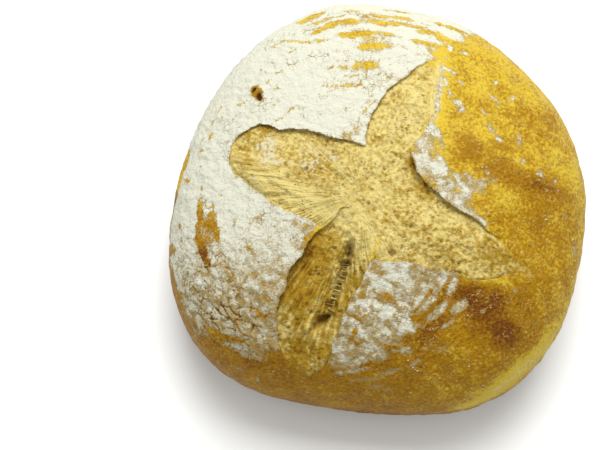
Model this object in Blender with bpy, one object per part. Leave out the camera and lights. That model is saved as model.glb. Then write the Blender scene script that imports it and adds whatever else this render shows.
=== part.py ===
"""A round country loaf, baked in one piece and opened by a cross of two deep scores.

The crust is worked out as a smooth dome on a flat foot. Places on it are given as (east, north)
in millimetres, measured along the crust from the crown, as a tape laid over the loaf would read.
The scores are closed outlines on that crust: inside them the dough has torn open and lies lower,
and along them the floured skin ends in a lip.
"""

import math

import bmesh
import bpy
import numpy as np

MM = 0.001

# The dome and its foot
MEAN_RADIUS = 119.4
CROWN_HEIGHT = 96.0
WIDEST_HEIGHT = 38.0
FOOT_SHARE = 0.77
DOME_POWER = 2.15
UNDERSIDE_POWER = 2.3
# Hand shaping, as shares of the radius: cosine and sine of two, three, four and five times the bearing
PLAN_LOBES = ((-0.0133, 0.0041), (0.0024, -0.0316), (-0.0142, 0.0179), (0.0077, 0.0071))
ROUND_CROWN = 60.0
CROWN_OFFSET = (-0.6, -4.7)
QUARTER_STEPS = 1500
FOOT_STEPS = 200
# Where the relief starts to fade below the widest ring, and where it has gone above the foot
FADE_START = 6.0
FADE_END = 4.0

# How the skin lies round an opening
LIP_CURL_LENGTH = 6.0
LIP_LEAN_LENGTH = 3.0
WALL_RUN = 0.4
WALL_LEAST = 0.25
FLOOR_SETTLE = 5.0
DEPTH_BLEND_POWER = 3.0
TORN_BLEND = 3.0
CURVE_STEPS = 8
ON_EDGE = 0.01
EDGE_CATCH = 0.58
# How ragged the lips tore: (size, amount)
LIP_FRAY = ((7.0, 0.9), (3.4, 0.7))

# Edges of the torn cross: (east, north, depth of the tear, rise of the lip, lean of the lip)
WEST_UPPER_LIP = (
    (-90.0, 20.0, 0.8, 0.1, 0.0),
    (-86.6, 30.2, 1.4, 0.3, 0.2),
    (-78.0, 35.8, 2.1, 0.5, 0.5),
    (-67.0, 37.0, 2.5, 0.6, 0.7),
    (-55.0, 33.2, 2.7, 0.7, 0.8),
    (-43.0, 31.0, 2.7, 0.7, 0.8),
    (-31.0, 26.0, 2.5, 0.7, 0.7),
    (-20.0, 23.2, 2.1, 0.6, 0.5),
    (-9.5, 19.0, 1.2, 0.4, 0.0),
)
NORTH_LEFT_LIP = (
    (-9.5, 19.0, 1.2, 0.4, 0.0),
    (-8.8, 27.5, 1.8, 0.5, 0.4),
    (-5.3, 37.0, 2.0, 0.6, 0.5),
    (0.4, 46.2, 1.9, 0.6, 0.4),
    (8.0, 54.5, 1.6, 0.5, 0.3),
    (16.4, 62.0, 1.1, 0.3, 0.2),
    (26.0, 69.5, 0.3, 0.1, 0.0),
)
NORTH_RIGHT_EDGE = (
    (26.0, 69.5, 0.3, 0.1, 0.0),
    (30.5, 69.0, 0.2, 0.3, 0.0),
    (31.0, 60.4, 0.3, 0.5, 0.0),
    (28.5, 48.0, 0.4, 0.6, 0.0),
    (26.0, 37.5, 0.5, 0.6, 0.0),
    (21.4, 26.0, 0.7, 0.6, 0.0),
    (14.2, 17.5, 1.4, 0.7, 0.0),
)
EAST_UPPER_LIP = (
    (14.2, 17.5, 1.4, 0.7, 0.0),
    (17.0, 9.6, 2.7, 1.0, 0.6),
    (22.2, -0.6, 3.2, 1.1, 0.8),
    (31.4, -9.3, 3.0, 1.0, 0.8),
    (41.0, -15.5, 2.2, 0.8, 0.6),
    (52.4, -21.7, 1.6, 0.6, 0.4),
    (60.0, -29.0, 0.6, 0.3, 0.0),
    (69.0, -35.6, 0.3, 0.2, 0.0),
    (79.0, -43.0, 0.1, 0.1, 0.0),
)
EAST_LOWER_LIP = (
    (79.0, -43.0, 0.1, 0.1, 0.0),
    (83.0, -47.6, 0.1, 0.1, 0.0),
    (80.0, -51.2, 0.1, 0.1, 0.0),
    (71.5, -48.6, 0.3, 0.3, 0.0),
    (63.0, -48.8, 0.7, 0.6, 0.0),
    (54.7, -50.2, 1.6, 0.9, 0.3),
    (44.0, -50.2, 2.4, 1.3, 0.4),
    (37.0, -47.3, 2.9, 1.6, 0.5),
    (26.6, -46.0, 2.9, 1.6, 0.5),
    (13.4, -43.9, 2.7, 1.5, 0.4),
    (0.0, -44.2, 2.2, 1.2, 0.3),
    (-7.1, -44.7, 1.4, 0.8, 0.0),
)
EAST_FOLD = (
    (-7.1, -44.7, 0.9, 0.2, 0.0),
    (-4.2, -35.5, 0.3, 0.0, 0.0),
    (-6.2, -27.0, 0.3, 0.0, 0.0),
    (-10.3, -21.0, 0.3, 0.0, 0.0),
    (-14.5, -13.4, 0.4, 0.0, 0.0),
)
WEST_FOLD = (
    (-14.5, -13.4, 0.4, 0.0, 0.0),
    (-21.2, -15.5, 0.4, 0.0, 0.0),
    (-26.4, -20.2, 0.5, 0.0, 0.0),
    (-31.5, -24.3, 0.6, 0.0, 0.0),
)
WEST_LOWER_LIP = (
    (-31.5, -24.3, 0.7, 0.1, 0.0),
    (-39.0, -19.9, 0.9, 0.3, 0.0),
    (-53.0, -13.5, 1.0, 0.4, 0.0),
    (-63.2, -8.6, 1.0, 0.4, 0.0),
    (-73.2, -1.3, 1.0, 0.4, 0.0),
    (-81.5, 6.0, 1.0, 0.3, 0.0),
    (-88.0, 13.5, 0.8, 0.2, 0.0),
    (-90.0, 20.0, 0.8, 0.1, 0.0),
)
CROSS = (WEST_UPPER_LIP, NORTH_LEFT_LIP, NORTH_RIGHT_EDGE, EAST_UPPER_LIP,
         EAST_LOWER_LIP, EAST_FOLD, WEST_FOLD, WEST_LOWER_LIP)

# Edges of the deeper hollow in the south arm
HOLLOW_WEST_FOLD = (
    (-31.5, -24.3, 1.9, 0.3, 0.0),
    (-26.4, -20.2, 2.2, 0.5, 0.1),
    (-21.2, -15.5, 1.6, 0.4, 0.0),
    (-14.5, -13.4, 0.4, 0.1, 0.0),
)
HOLLOW_EAST_FOLD = (
    (-14.5, -13.4, 0.4, 0.1, 0.0),
    (-10.3, -21.0, 0.3, 0.1, 0.0),
    (-6.2, -27.0, 0.2, 0.1, 0.0),
    (-4.2, -35.5, 0.1, 0.1, 0.0),
    (-7.1, -44.7, 0.4, 0.3, 0.0),
)
SOUTH_RIGHT_LIP = (
    (-7.1, -44.7, 0.9, 0.7, 0.0),
    (-10.0, -50.0, 1.9, 1.3, 0.2),
    (-13.1, -56.8, 2.8, 2.0, 0.3),
    (-17.6, -63.6, 3.0, 2.2, 0.3),
    (-18.9, -69.4, 3.0, 2.2, 0.3),
    (-22.2, -73.8, 2.8, 2.0, 0.3),
    (-23.6, -80.0, 2.4, 1.6, 0.2),
    (-27.0, -87.0, 1.4, 0.9, 0.1),
    (-29.3, -96.0, 0.9, 0.6, 0.0),
    (-34.7, -105.2, 0.2, 0.1, 0.0),
)
SOUTH_END = (
    (-34.7, -105.2, 0.2, 0.1, 0.0),
    (-43.0, -108.0, 0.1, 0.0, 0.0),
    (-51.4, -99.8, 0.3, 0.1, 0.0),
)
SOUTH_LEFT_LIP = (
    (-51.4, -99.8, 0.3, 0.1, 0.0),
    (-55.2, -90.0, 1.0, 0.3, 0.1),
    (-55.4, -79.0, 1.8, 0.5, 0.3),
    (-54.0, -66.0, 2.6, 0.7, 0.5),
    (-50.4, -54.5, 3.2, 0.8, 0.6),
    (-46.6, -43.5, 3.5, 0.9, 0.7),
    (-41.2, -36.8, 3.5, 0.8, 0.7),
    (-36.2, -28.8, 3.0, 0.6, 0.5),
    (-31.5, -24.3, 2.0, 0.3, 0.0),
)
HOLLOW = (HOLLOW_WEST_FOLD, HOLLOW_EAST_FOLD, SOUTH_RIGHT_LIP, SOUTH_END, SOUTH_LEFT_LIP)

# Swellings (+) and sinkings (-) of the torn dough: (east, north, length, width, bearing in degrees, height)
DOUGH_SWELLS = (
    (-56.0, 8.0, 26.0, 12.0, -12.0, 2.6),
    (-30.0, 2.0, 20.0, 12.0, -30.0, 1.4),
    (6.0, 36.0, 26.0, 9.0, 62.0, 1.6),
    (34.0, -31.0, 34.0, 11.0, -26.0, 2.0),
    (-40.0, -58.0, 20.0, 7.0, 62.0, 1.8),
    (-24.0, -56.0, 26.0, 7.0, 62.0, -3.4),
    (-2.0, -8.0, 12.0, 10.0, 0.0, -1.0),
)
# The tear at the bottom of the hollow, its depth, and its half width on the west and on the east side
TEAR_LINE = ((-17.6, -30.5), (-16.9, -37.5), (-19.4, -45.0), (-22.2, -53.0), (-25.6, -61.5),
             (-28.6, -70.0), (-32.0, -76.4), (-37.6, -81.5))
TEAR_DEPTH = 5.2
TEAR_HALF_WIDTHS = (2.8, 0.9)
TEAR_RUN_OUT = 6.0
# How ragged the tear, the holes and the charred pits are
HOLE_FRAY = ((3.2, 1.1), (1.7, 0.5))
# Large holes: (east, north, radius, depth)
HOLES = (
    (-18.7, -37.0, 3.3, 3.4),
    (-20.6, -44.6, 2.6, 2.6),
    (-33.4, -76.4, 3.4, 4.2),
    (-37.8, -77.6, 1.5, 2.6),
    (4.1, -39.0, 2.1, 2.2),
    (38.2, -44.9, 1.6, 1.6),
    (-4.6, 33.6, 1.4, 1.6),
)
# Folds of the torn dough: (east, north) points, half width and height, sunk where negative
DOUGH_FOLDS = (
    (((-14.6, -13.4), (-14.9, -4.0), (-14.0, 6.0), (-12.6, 16.0)), 1.3, 0.8),
    (((-14.6, -13.4), (-10.0, -18.5), (-4.0, -25.0), (2.0, -29.5)), 2.2, 1.2),
    (((-14.6, -13.4), (-20.5, -14.6), (-26.0, -19.4), (-31.0, -23.6)), 1.4, 0.9),
    (((-85.6, 19.0), (-84.4, 23.0), (-81.2, 26.6), (-77.4, 29.6)), 0.8, -1.3),
    (((-87.4, 17.5), (-86.6, 23.0), (-83.4, 28.0), (-79.0, 31.4)), 1.2, 0.7),
    (((-48.0, -52.0), (-50.0, -66.0), (-49.0, -80.0)), 1.6, 0.7),
    (((-40.0, -40.0), (-43.6, -56.0), (-42.0, -74.0), (-38.0, -88.0)), 1.5, 0.8),
    (((-12.6, -24.0), (-13.6, -34.0), (-17.0, -48.0), (-22.4, -62.0), (-27.4, -75.0)), 1.3, 0.9),
    (((-66.0, 4.0), (-56.0, -1.0), (-44.0, -8.0), (-30.0, -12.0)), 1.4, 0.6),
)
# A blister that burnt, with the columns of a swelling, and its two charred pits, with those of a hole
BLISTER = (-70.3, 58.6, 6.0, 4.5, -40.0, 1.4)
CHARRED_PITS = ((-72.2, 61.0, 2.1, 1.5), (-68.8, 55.4, 2.6, 1.6))
# The split low on the west side: (east, north) of its ends, half width and depth
SIDE_SPLIT = ((-127.5, 27.0), (-134.0, 16.0), (-137.0, 4.0), (-137.5, -6.0))
SPLIT_HALF_WIDTH = 2.6
SPLIT_DEPTH = 1.8
# The fold left by shaping on the east side
SHAPING_FOLD = ((40.0, 27.0), (62.0, 20.0), (86.0, 5.0), (108.0, -6.0))
FOLD_HALF_WIDTH = 6.5
FOLD_HEIGHT = 1.3

# Unevenness of the crust: (lump size, height)
CRUST_LUMPS = ((46.0, 1.5), (19.0, 0.6), (8.0, 0.24))
TORN_LUMPS = ((11.0, 0.9), (5.0, 0.6), (2.6, 0.35))
# Flour that dried and cracked into flakes on the south-west side
FLAKE_PLACE = (-88.0, -62.0, 40.0, 25.0, -40.0)
FLAKE_SIZE = (8.2, 5.2)
FLAKES_ACROSS = 2.1
FLAKE_BEARING = -38.0
FLAKE_WARP = ((6.0, 1.9), (2.3, 0.7))
FLAKE_JITTER = 0.46
FLAKE_STEP = 0.3
FLAKE_TIP = 0.85
# Gaps between flakes as shares of their size: usual width, how much it varies, and width of the small cracks
FLAKE_GAP = (0.10, 0.12)
FLAKE_CRACK = 0.13
FLAKE_GAP_DEPTH = 1.0

# Mesh: rings of points round the crown, how many times fewer the foot's rings have, and the triangles kept
RING_STEP = 1.3
CAP_RINGS = 74
SIDE_STEP = 2.2
FOOT_THINNING = (2, 4, 8, 16)
SOLID_TRIANGLES = 11200
SHARP_ANGLE = 40.0

CRUST_COLOUR = (0.62, 0.36, 0.075)
CRUST_ROUGHNESS = 0.8
NOISE_CELLS = 64
SEED = 7


def profile():
    """The loaf's half section: distance along the crust, share of the radius, and height."""
    turn = np.linspace(0.0, math.pi / 2, QUARTER_STEPS)
    dome = (np.sin(turn) ** (2 / DOME_POWER),
            WIDEST_HEIGHT + (CROWN_HEIGHT - WIDEST_HEIGHT) * np.cos(turn) ** (2 / DOME_POWER))
    underside = (FOOT_SHARE + (1 - FOOT_SHARE) * np.cos(turn) ** (2 / UNDERSIDE_POWER),
                 WIDEST_HEIGHT * (1 - np.sin(turn) ** (2 / UNDERSIDE_POWER)))
    foot = (np.linspace(FOOT_SHARE, 0.0, FOOT_STEPS), np.zeros(FOOT_STEPS))
    share = np.concatenate([dome[0], underside[0][1:], foot[0][1:]])
    height = np.concatenate([dome[1], underside[1][1:], foot[1][1:]])
    steps = np.hypot(np.diff(share) * MEAN_RADIUS, np.diff(height))
    return np.concatenate([[0.0], np.cumsum(steps)]), share, height


ALONG, SHARE, HEIGHT = profile()
WIDEST_AT = float(ALONG[QUARTER_STEPS - 1])
FOOT_AT = float(ALONG[2 * QUARTER_STEPS - 2])
CENTRE_AT = float(ALONG[-1])


def skin(places):
    """Points of the smooth loaf, in millimetres, at places measured along its crust."""
    along = np.hypot(places[:, 0], places[:, 1])
    bearing = np.arctan2(places[:, 1], places[:, 0])
    lobes = sum(a * np.cos(k * bearing) + b * np.sin(k * bearing)
                for k, (a, b) in enumerate(PLAN_LOBES, start=2))
    radius = MEAN_RADIUS * (1 + lobes * np.clip(along / ROUND_CROWN, 0, 1))
    radius = radius * np.interp(along, ALONG, SHARE)
    return np.stack([CROWN_OFFSET[0] + radius * np.cos(bearing),
                     CROWN_OFFSET[1] + radius * np.sin(bearing),
                     np.interp(along, ALONG, HEIGHT)], axis=1)


def skin_normals(places):
    """Outward directions of the smooth loaf at these places."""
    along = np.hypot(places[:, 0], places[:, 1])[:, None]
    outward = places / np.maximum(along, 1e-6)
    sideways = np.stack([-outward[:, 1], outward[:, 0]], axis=1)
    reach = 0.8
    down = skin(places + outward * reach) - skin(places - outward * reach)
    across = skin(places + sideways * reach) - skin(places - sideways * reach)
    normal = np.cross(down, across)
    return normal / np.maximum(np.linalg.norm(normal, axis=1, keepdims=True), 1e-9)


NOISE_TABLE = np.random.default_rng(SEED).uniform(-1, 1, (NOISE_CELLS,) * 3)


def lumps(points, size, turn=0.0):
    """Smooth noise between -1 and 1 with lumps of this size, at points in millimetres."""
    cosine, sine = math.cos(turn), math.sin(turn)
    east, north, up = points.T
    turned = np.stack([cosine * east - sine * up, north + 0.37 * east, sine * east + cosine * up], axis=1)
    scaled = turned / size + 11.7 * (1 + turn)
    cell = np.floor(scaled).astype(int)
    part = scaled - cell
    part = part * part * part * (part * (part * 6 - 15) + 10)
    total = np.zeros(len(points))
    for corner in range(8):
        step = np.array([corner & 1, corner >> 1 & 1, corner >> 2 & 1])
        weight = np.prod(np.where(step, part, 1 - part), axis=1)
        x, y, z = ((cell + step) % NOISE_CELLS).T
        total += weight * NOISE_TABLE[x, y, z]
    return total


def layers(points, table, turn=0.0):
    """Lumps of several sizes, each (size, height), added up."""
    return sum(height * lumps(points, size, turn + 0.9 * n) for n, (size, height) in enumerate(table))


def through(points, steps=CURVE_STEPS):
    """A smooth curve through the points, with all their columns, as a line of many short steps."""
    rows = np.array(points, float)
    padded = np.vstack([2 * rows[0] - rows[1], rows, 2 * rows[-1] - rows[-2]])
    t = np.linspace(0, 1, steps, endpoint=False)[:, None]
    spans = []
    for before, start, end, after in zip(padded, padded[1:], padded[2:], padded[3:]):
        spans.append(0.5 * (2 * start + (end - before) * t + (2 * before - 5 * start + 4 * end - after) * t**2
                            + (3 * start - before - 3 * end + after) * t**3))
    return np.vstack(spans + [rows[-1:]])


def nearest_on(places, line):
    """For each place: its distance to a line, the line's values there, the way from the line to the place,
    and the way to the left of the line."""
    start, step = line[:-1, :2], np.diff(line[:, :2], axis=0)
    length2 = np.maximum((step**2).sum(axis=1), 1e-12)
    rows, gaps, lefts = [], [], []
    for chunk in np.array_split(places, max(1, len(places) // 4000)):
        offset = chunk[:, None, :] - start[None]
        share = np.clip((offset * step).sum(axis=2) / length2, 0, 1)
        gap = offset - share[:, :, None] * step
        best = (gap**2).sum(axis=2).argmin(axis=1)
        each = np.arange(len(chunk))
        rows.append(best + share[each, best])
        gaps.append(gap[each, best])
        lefts.append(step[best][:, ::-1] * (-1, 1) / np.sqrt(length2[best])[:, None])
    row, gap = np.concatenate(rows), np.vstack(gaps)
    distance = np.linalg.norm(gap, axis=1)
    values = np.stack([np.interp(row, np.arange(len(line)), column) for column in line.T], axis=1)
    return distance, values, gap / np.maximum(distance, 1e-9)[:, None], np.vstack(lefts)


def is_inside(places, line):
    """Whether each place lies inside a closed line, by counting crossings."""
    inside = np.zeros(len(places), bool)
    for (x0, y0), (x1, y1) in zip(line[:-1, :2], line[1:, :2]):
        crosses = (y0 > places[:, 1]) != (y1 > places[:, 1])
        if y0 != y1:
            inside ^= crosses & (places[:, 0] < (x1 - x0) * (places[:, 1] - y0) / (y1 - y0) + x0)
    return inside


def blended_depth(places, line):
    """The tear's depth inside an outline, blended from the depths along its edges by nearness."""
    middle = (line[:-1] + line[1:]) / 2
    length = np.linalg.norm(np.diff(line[:, :2], axis=0), axis=1)
    found = []
    for chunk in np.array_split(places, max(1, len(places) // 4000)):
        gap2 = ((chunk[:, None, :] - middle[None, :, :2]) ** 2).sum(axis=2)
        weight = length / (gap2 + 0.25) ** (DEPTH_BLEND_POWER / 2)
        found.append((weight * middle[:, 2]).sum(axis=1) / weight.sum(axis=1))
    return np.concatenate(found)


def ease(x):
    x = np.clip(x, 0, 1)
    return x * x * (3 - 2 * x)


def outline(edges):
    """The closed line, clockwise from above, that these edges make end to end, with ragged lips."""
    line = np.vstack([through(edge)[:-1] for edge in edges] + [np.array(edges[0][:1], float)])
    flat = np.column_stack([line[:, :2], np.zeros(len(line))])
    line[:, 0] += layers(flat, LIP_FRAY, 0.4)
    line[:, 1] += layers(flat, LIP_FRAY, 1.5)
    return line


def within_reach(places, line, reach):
    """The numbers of the places in a box round a line."""
    low, high = line[:, :2].min(axis=0) - reach, line[:, :2].max(axis=0) + reach
    return np.flatnonzero(((places > low) & (places < high)).all(axis=1))


def onto_edges(places, reach):
    """The places, with those closer than this to a torn edge moved onto it, so that lips come out crisp."""
    places = places.copy()
    for edges in (CROSS, HOLLOW):
        line = outline(edges)
        near = within_reach(places, line, reach)
        distance, _, away, _ = nearest_on(places[near], line)
        places[near] -= away * (distance * (distance < reach))[:, None]
    return places


def opening(places, edges, reach=40.0):
    """What one opening does to the crust: how far each place moves along the crust, how far it rises, and
    how far inside the outline it lies (negative outside)."""
    line = outline(edges)
    near = within_reach(places, line, reach)
    shift, rise, inward = np.zeros_like(places), np.zeros(len(places)), np.full(len(places), -reach)
    here = places[near]
    distance, values, away, left = nearest_on(here, line)
    on_edge = distance < ON_EDGE
    inside = is_inside(here, line) & ~on_edge
    away = np.where(on_edge[:, None], left, away)
    _, _, edge_depth, lip_rise, lean = values.T
    depth = np.where(inside, blended_depth(here, line), edge_depth)
    wall = WALL_LEAST + WALL_RUN * edge_depth + lean
    down = ease(distance / wall)
    out = np.exp(-distance / LIP_CURL_LENGTH)
    rise[near] = np.where(inside, lip_rise * (1 - down) - depth * down, lip_rise * out)
    across = np.clip(distance / wall, 0, 1)
    past = np.maximum(distance - wall, 0)
    inner = np.where(distance < wall, lean * (1 - 2 * across) - distance,
                     -(wall + lean) * np.exp(-past / FLOOR_SETTLE))
    outer = lean * np.exp(-distance / LIP_LEAN_LENGTH)
    shift[near] = away * np.where(inside, inner, -outer)[:, None]
    inward[near] = np.where(inside, distance, -distance)
    return shift, rise, inward


def mound(places, east, north, length, width, bearing=0.0):
    """A smooth mound of height 1, with this half length and half width."""
    turn = math.radians(bearing)
    x, y = places[:, 0] - east, places[:, 1] - north
    along = (x * math.cos(turn) + y * math.sin(turn)) / length
    across = (-x * math.sin(turn) + y * math.cos(turn)) / width
    return np.exp(-(along**2 + across**2))


def from_ends(places, line):
    """How far each place is from the nearer end of a line."""
    return np.minimum(np.linalg.norm(places - line[0], axis=1), np.linalg.norm(places - line[-1], axis=1))


def groove(places, points, half_width):
    """A smooth groove of depth 1 along a line, running out towards its ends."""
    line = through(points)
    distance = nearest_on(places, line)[0]
    return np.exp(-((distance / half_width) ** 2)) * ease(from_ends(places, line) / (3 * half_width) + 0.25)


def tear(places):
    """The tear at the bottom of the hollow, 1 at its deepest, steeper on its east side."""
    line = through(TEAR_LINE)
    distance, _, away, left = nearest_on(places, line)
    half_width = np.where((away * left).sum(axis=1) > 0, TEAR_HALF_WIDTHS[1], TEAR_HALF_WIDTHS[0])
    return np.exp(-((distance / half_width) ** 2)) * ease(from_ends(places, line) / TEAR_RUN_OUT + 0.2)


def pit(places, east, north, radius):
    """A round pit of depth 1 with steep sides."""
    distance = np.hypot(places[:, 0] - east, places[:, 1] - north)
    return 1 - ease((distance / radius - 0.45) / 0.75)


def frayed(places):
    """Places pushed about a little, so that holes and tears come out ragged."""
    flat = np.column_stack([places, np.zeros(len(places))])
    return places + np.stack([layers(flat, HOLE_FRAY, 0.4), layers(flat, HOLE_FRAY, 1.5)], axis=1)


def plates(spots, page):
    """Uneven plates at places counted in plates: how far the second nearest middle is beyond the nearest, and
    how high the nearest plate's own slope stands there."""
    base = np.floor(spots).astype(int)
    away, tips = [], []
    for step in ((x, y) for x in (-1, 0, 1) for y in (-1, 0, 1)):
        i, j = (base + step).T % NOISE_CELLS
        offset = spots - base - step - 0.5 - FLAKE_JITTER * NOISE_TABLE[i, j, page:page + 2]
        slope = NOISE_TABLE[i, j, page + 2:page + 4]
        away.append(np.hypot(*offset.T))
        tips.append((offset * slope).sum(axis=1) + FLAKE_STEP * NOISE_TABLE[i, j, page + 4])
    order = np.argsort(away, axis=0)
    each = np.arange(len(spots))
    away = np.array(away)
    return away[order[1], each] - away[order[0], each], np.array(tips)[order[0], each]


def flakes(places):
    """Flakes of dried flour: 1 in the gaps between them and 0 on them, and how far each tips up or down."""
    turn = math.radians(FLAKE_BEARING)
    flat = np.column_stack([places, np.zeros(len(places))])
    x = places[:, 0] * math.cos(turn) + places[:, 1] * math.sin(turn)
    y = places[:, 1] * math.cos(turn) - places[:, 0] * math.sin(turn)
    x += layers(flat, FLAKE_WARP, 0.3)
    y += layers(flat, FLAKE_WARP, 1.4)
    spots = np.stack([x, y], axis=1) / FLAKE_SIZE
    gap, tip = plates(spots, 3)
    small_gap, small_tip = plates(spots * FLAKES_ACROSS, 13)
    usual, varied = FLAKE_GAP
    wide = 1 - ease(gap / np.maximum(usual + varied * lumps(flat, 13.0, 2.2), 0.03))
    thin = (1 - ease(small_gap / FLAKE_CRACK)) * ease(0.35 + 1.6 * lumps(flat, 9.0, 3.1))
    return np.maximum(wide, 0.7 * thin), tip + 0.4 * small_tip


def crust_points(places, step):
    """The loaf's real surface, in metres, at places measured along its crust, about this step apart."""
    places = onto_edges(places, EDGE_CATCH * step)
    cross_shift, cross_rise, cross_inward = opening(places, CROSS)
    hollow_shift, hollow_rise, hollow_inward = opening(places, HOLLOW)
    torn = ease(np.maximum(cross_inward, hollow_inward) / TORN_BLEND)
    moved = places + cross_shift + hollow_shift
    points = skin(moved)
    rise = cross_rise + hollow_rise
    rise += torn * sum(swell[5] * mound(places, *swell[:5]) for swell in DOUGH_SWELLS)
    rise += torn * sum(fold[2] * groove(places, *fold[:2]) for fold in DOUGH_FOLDS)
    rise += (1 - torn) * layers(points, CRUST_LUMPS) + torn * layers(points, TORN_LUMPS)
    ragged = frayed(places)
    rise -= TEAR_DEPTH * tear(ragged)
    rise -= sum(hole[3] * pit(ragged, *hole[:3]) for hole in HOLES)
    rise += BLISTER[5] * mound(places, *BLISTER[:5])
    rise -= sum(hole[3] * pit(ragged, *hole[:3]) for hole in CHARRED_PITS)
    rise -= SPLIT_DEPTH * groove(places, SIDE_SPLIT, SPLIT_HALF_WIDTH)
    rise += FOLD_HEIGHT * groove(places, SHAPING_FOLD, FOLD_HALF_WIDTH)
    gaps, tips = flakes(places)
    rise += (1 - torn) * mound(places, *FLAKE_PLACE) * (FLAKE_TIP * tips - FLAKE_GAP_DEPTH * gaps)
    along = np.hypot(places[:, 0], places[:, 1])
    fade = FOOT_AT - FADE_END - WIDEST_AT - FADE_START
    rise *= 1 - ease((along - WIDEST_AT - FADE_START) / fade)
    points = points + rise[:, None] * skin_normals(moved)
    points[:, 2] = np.maximum(points[:, 2], 0.0)
    return points * MM


def ring_places():
    """Rings of places from the crown to the middle of the foot, as a list of arrays."""
    rings = [np.zeros((1, 2))]
    sizes = [(k * RING_STEP, 6 * k) for k in range(1, CAP_RINGS + 1)]
    start, full = sizes[-1]
    rows = int((FOOT_AT - start) / SIDE_STEP) + 1
    sizes += [(start + (FOOT_AT - start) * row / rows, full) for row in range(1, rows + 1)]
    foot_step = (CENTRE_AT - FOOT_AT) / (len(FOOT_THINNING) + 1)
    sizes += [(FOOT_AT + row * foot_step, full // fewer) for row, fewer in enumerate(FOOT_THINNING, start=1)]
    for distance, count in sizes:
        turn = np.arange(count) * 2 * math.pi / count
        rings.append(np.stack([distance * np.cos(turn), distance * np.sin(turn)], axis=1))
    return rings + [np.array([[CENTRE_AT - 1e-6, 0.0]])]


def band(outer, inner):
    """Triangles that join two rings of vertices, whatever their counts, as a zip."""
    faces = []
    i = j = 0
    m, n = len(outer), len(inner)
    while i < m or j < n:
        if j == n or (i < m and (i + 1) * n <= (j + 1) * m):
            faces.append((outer[i % m], outer[(i + 1) % m], inner[j % n]))
            i += 1
        else:
            faces.append((outer[i % m], inner[(j + 1) % n], inner[j % n]))
            j += 1
    return faces


def make_loaf():
    rings = ring_places()
    points = crust_points(np.vstack(rings), RING_STEP)
    mesh = bpy.data.meshes.new("loaf")
    shape = bmesh.new()
    vertices = [shape.verts.new(point) for point in points]
    first = 0
    numbered = []
    for ring in rings:
        numbered.append(vertices[first:first + len(ring)])
        first += len(ring)
    for inner, outer in zip(numbered, numbered[1:]):
        for face in band(outer, inner):
            if len(set(face)) == 3:
                shape.faces.new(face)
    bmesh.ops.recalc_face_normals(shape, faces=shape.faces)
    triangles = len(shape.faces)
    shape.to_mesh(mesh)
    shape.free()
    loaf = bpy.data.objects.new("loaf", mesh)
    bpy.context.scene.collection.objects.link(loaf)
    lighter = loaf.modifiers.new("fewer facets", "DECIMATE")
    lighter.ratio = SOLID_TRIANGLES / triangles
    mesh.shade_smooth()
    mesh.set_sharp_from_angle(angle=math.radians(SHARP_ANGLE))
    return loaf


def crust_material():
    material = bpy.data.materials.new("floured crust")
    material.use_nodes = True
    shader = material.node_tree.nodes["Principled BSDF"]
    shader.inputs["Base Color"].default_value = (*CRUST_COLOUR, 1.0)
    shader.inputs["Roughness"].default_value = CRUST_ROUGHNESS
    return material


def main():
    for old in list(bpy.data.objects):
        bpy.data.objects.remove(old)
    loaf = make_loaf()
    loaf.data.materials.append(crust_material())


main()
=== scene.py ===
"""A round country loaf, floured, scored with a cross and torn open in the oven, on a pale table.

The loaf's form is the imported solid's own, worked out again with a finer mesh: a smooth dome on a flat
foot, whose places are given as (east, north) in millimetres measured along the crust from the crown.
"""

import math

import bmesh
import bpy
import numpy as np
from bpy.props import FloatProperty, FloatVectorProperty, IntProperty, PointerProperty
from bpy.types import Operator, Panel, PropertyGroup
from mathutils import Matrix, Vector


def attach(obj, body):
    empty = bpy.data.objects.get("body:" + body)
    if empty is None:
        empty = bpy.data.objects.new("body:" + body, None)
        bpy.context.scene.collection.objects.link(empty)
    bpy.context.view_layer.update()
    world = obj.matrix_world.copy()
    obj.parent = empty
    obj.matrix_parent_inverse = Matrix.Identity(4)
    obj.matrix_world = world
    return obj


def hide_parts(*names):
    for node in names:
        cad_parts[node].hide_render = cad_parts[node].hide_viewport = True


bl_info = {
    "name": "Country loaf",
    "version": (1, 0, 0),
    "blender": (4, 5, 0),
    "location": "View3D > Sidebar > Loaf",
    "description": "Makes a floured country loaf with a torn cross, its loose flour and its stage",
    "category": "Object",
}

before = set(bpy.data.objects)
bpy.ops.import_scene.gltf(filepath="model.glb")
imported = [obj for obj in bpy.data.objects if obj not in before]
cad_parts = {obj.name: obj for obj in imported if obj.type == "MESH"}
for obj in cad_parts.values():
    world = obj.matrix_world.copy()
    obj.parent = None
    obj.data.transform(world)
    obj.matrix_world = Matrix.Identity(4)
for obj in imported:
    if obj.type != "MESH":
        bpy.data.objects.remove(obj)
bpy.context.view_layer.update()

MM = 0.001

# The dome and its foot
MEAN_RADIUS = 119.4
CROWN_HEIGHT = 96.0
WIDEST_HEIGHT = 38.0
FOOT_SHARE = 0.77
DOME_POWER = 2.15
UNDERSIDE_POWER = 2.3
# Hand shaping, as shares of the radius: cosine and sine of two, three, four and five times the bearing
PLAN_LOBES = ((-0.0133, 0.0041), (0.0024, -0.0316), (-0.0142, 0.0179), (0.0077, 0.0071))
ROUND_CROWN = 60.0
CROWN_OFFSET = (-0.6, -4.7)
QUARTER_STEPS = 1500
FOOT_STEPS = 200
# Where the relief starts to fade below the widest ring, and where it has gone above the foot
FADE_START = 6.0
FADE_END = 4.0
# How far on either side of a place the skin is taken to find which way it faces
NORMAL_REACH = 0.8

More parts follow.
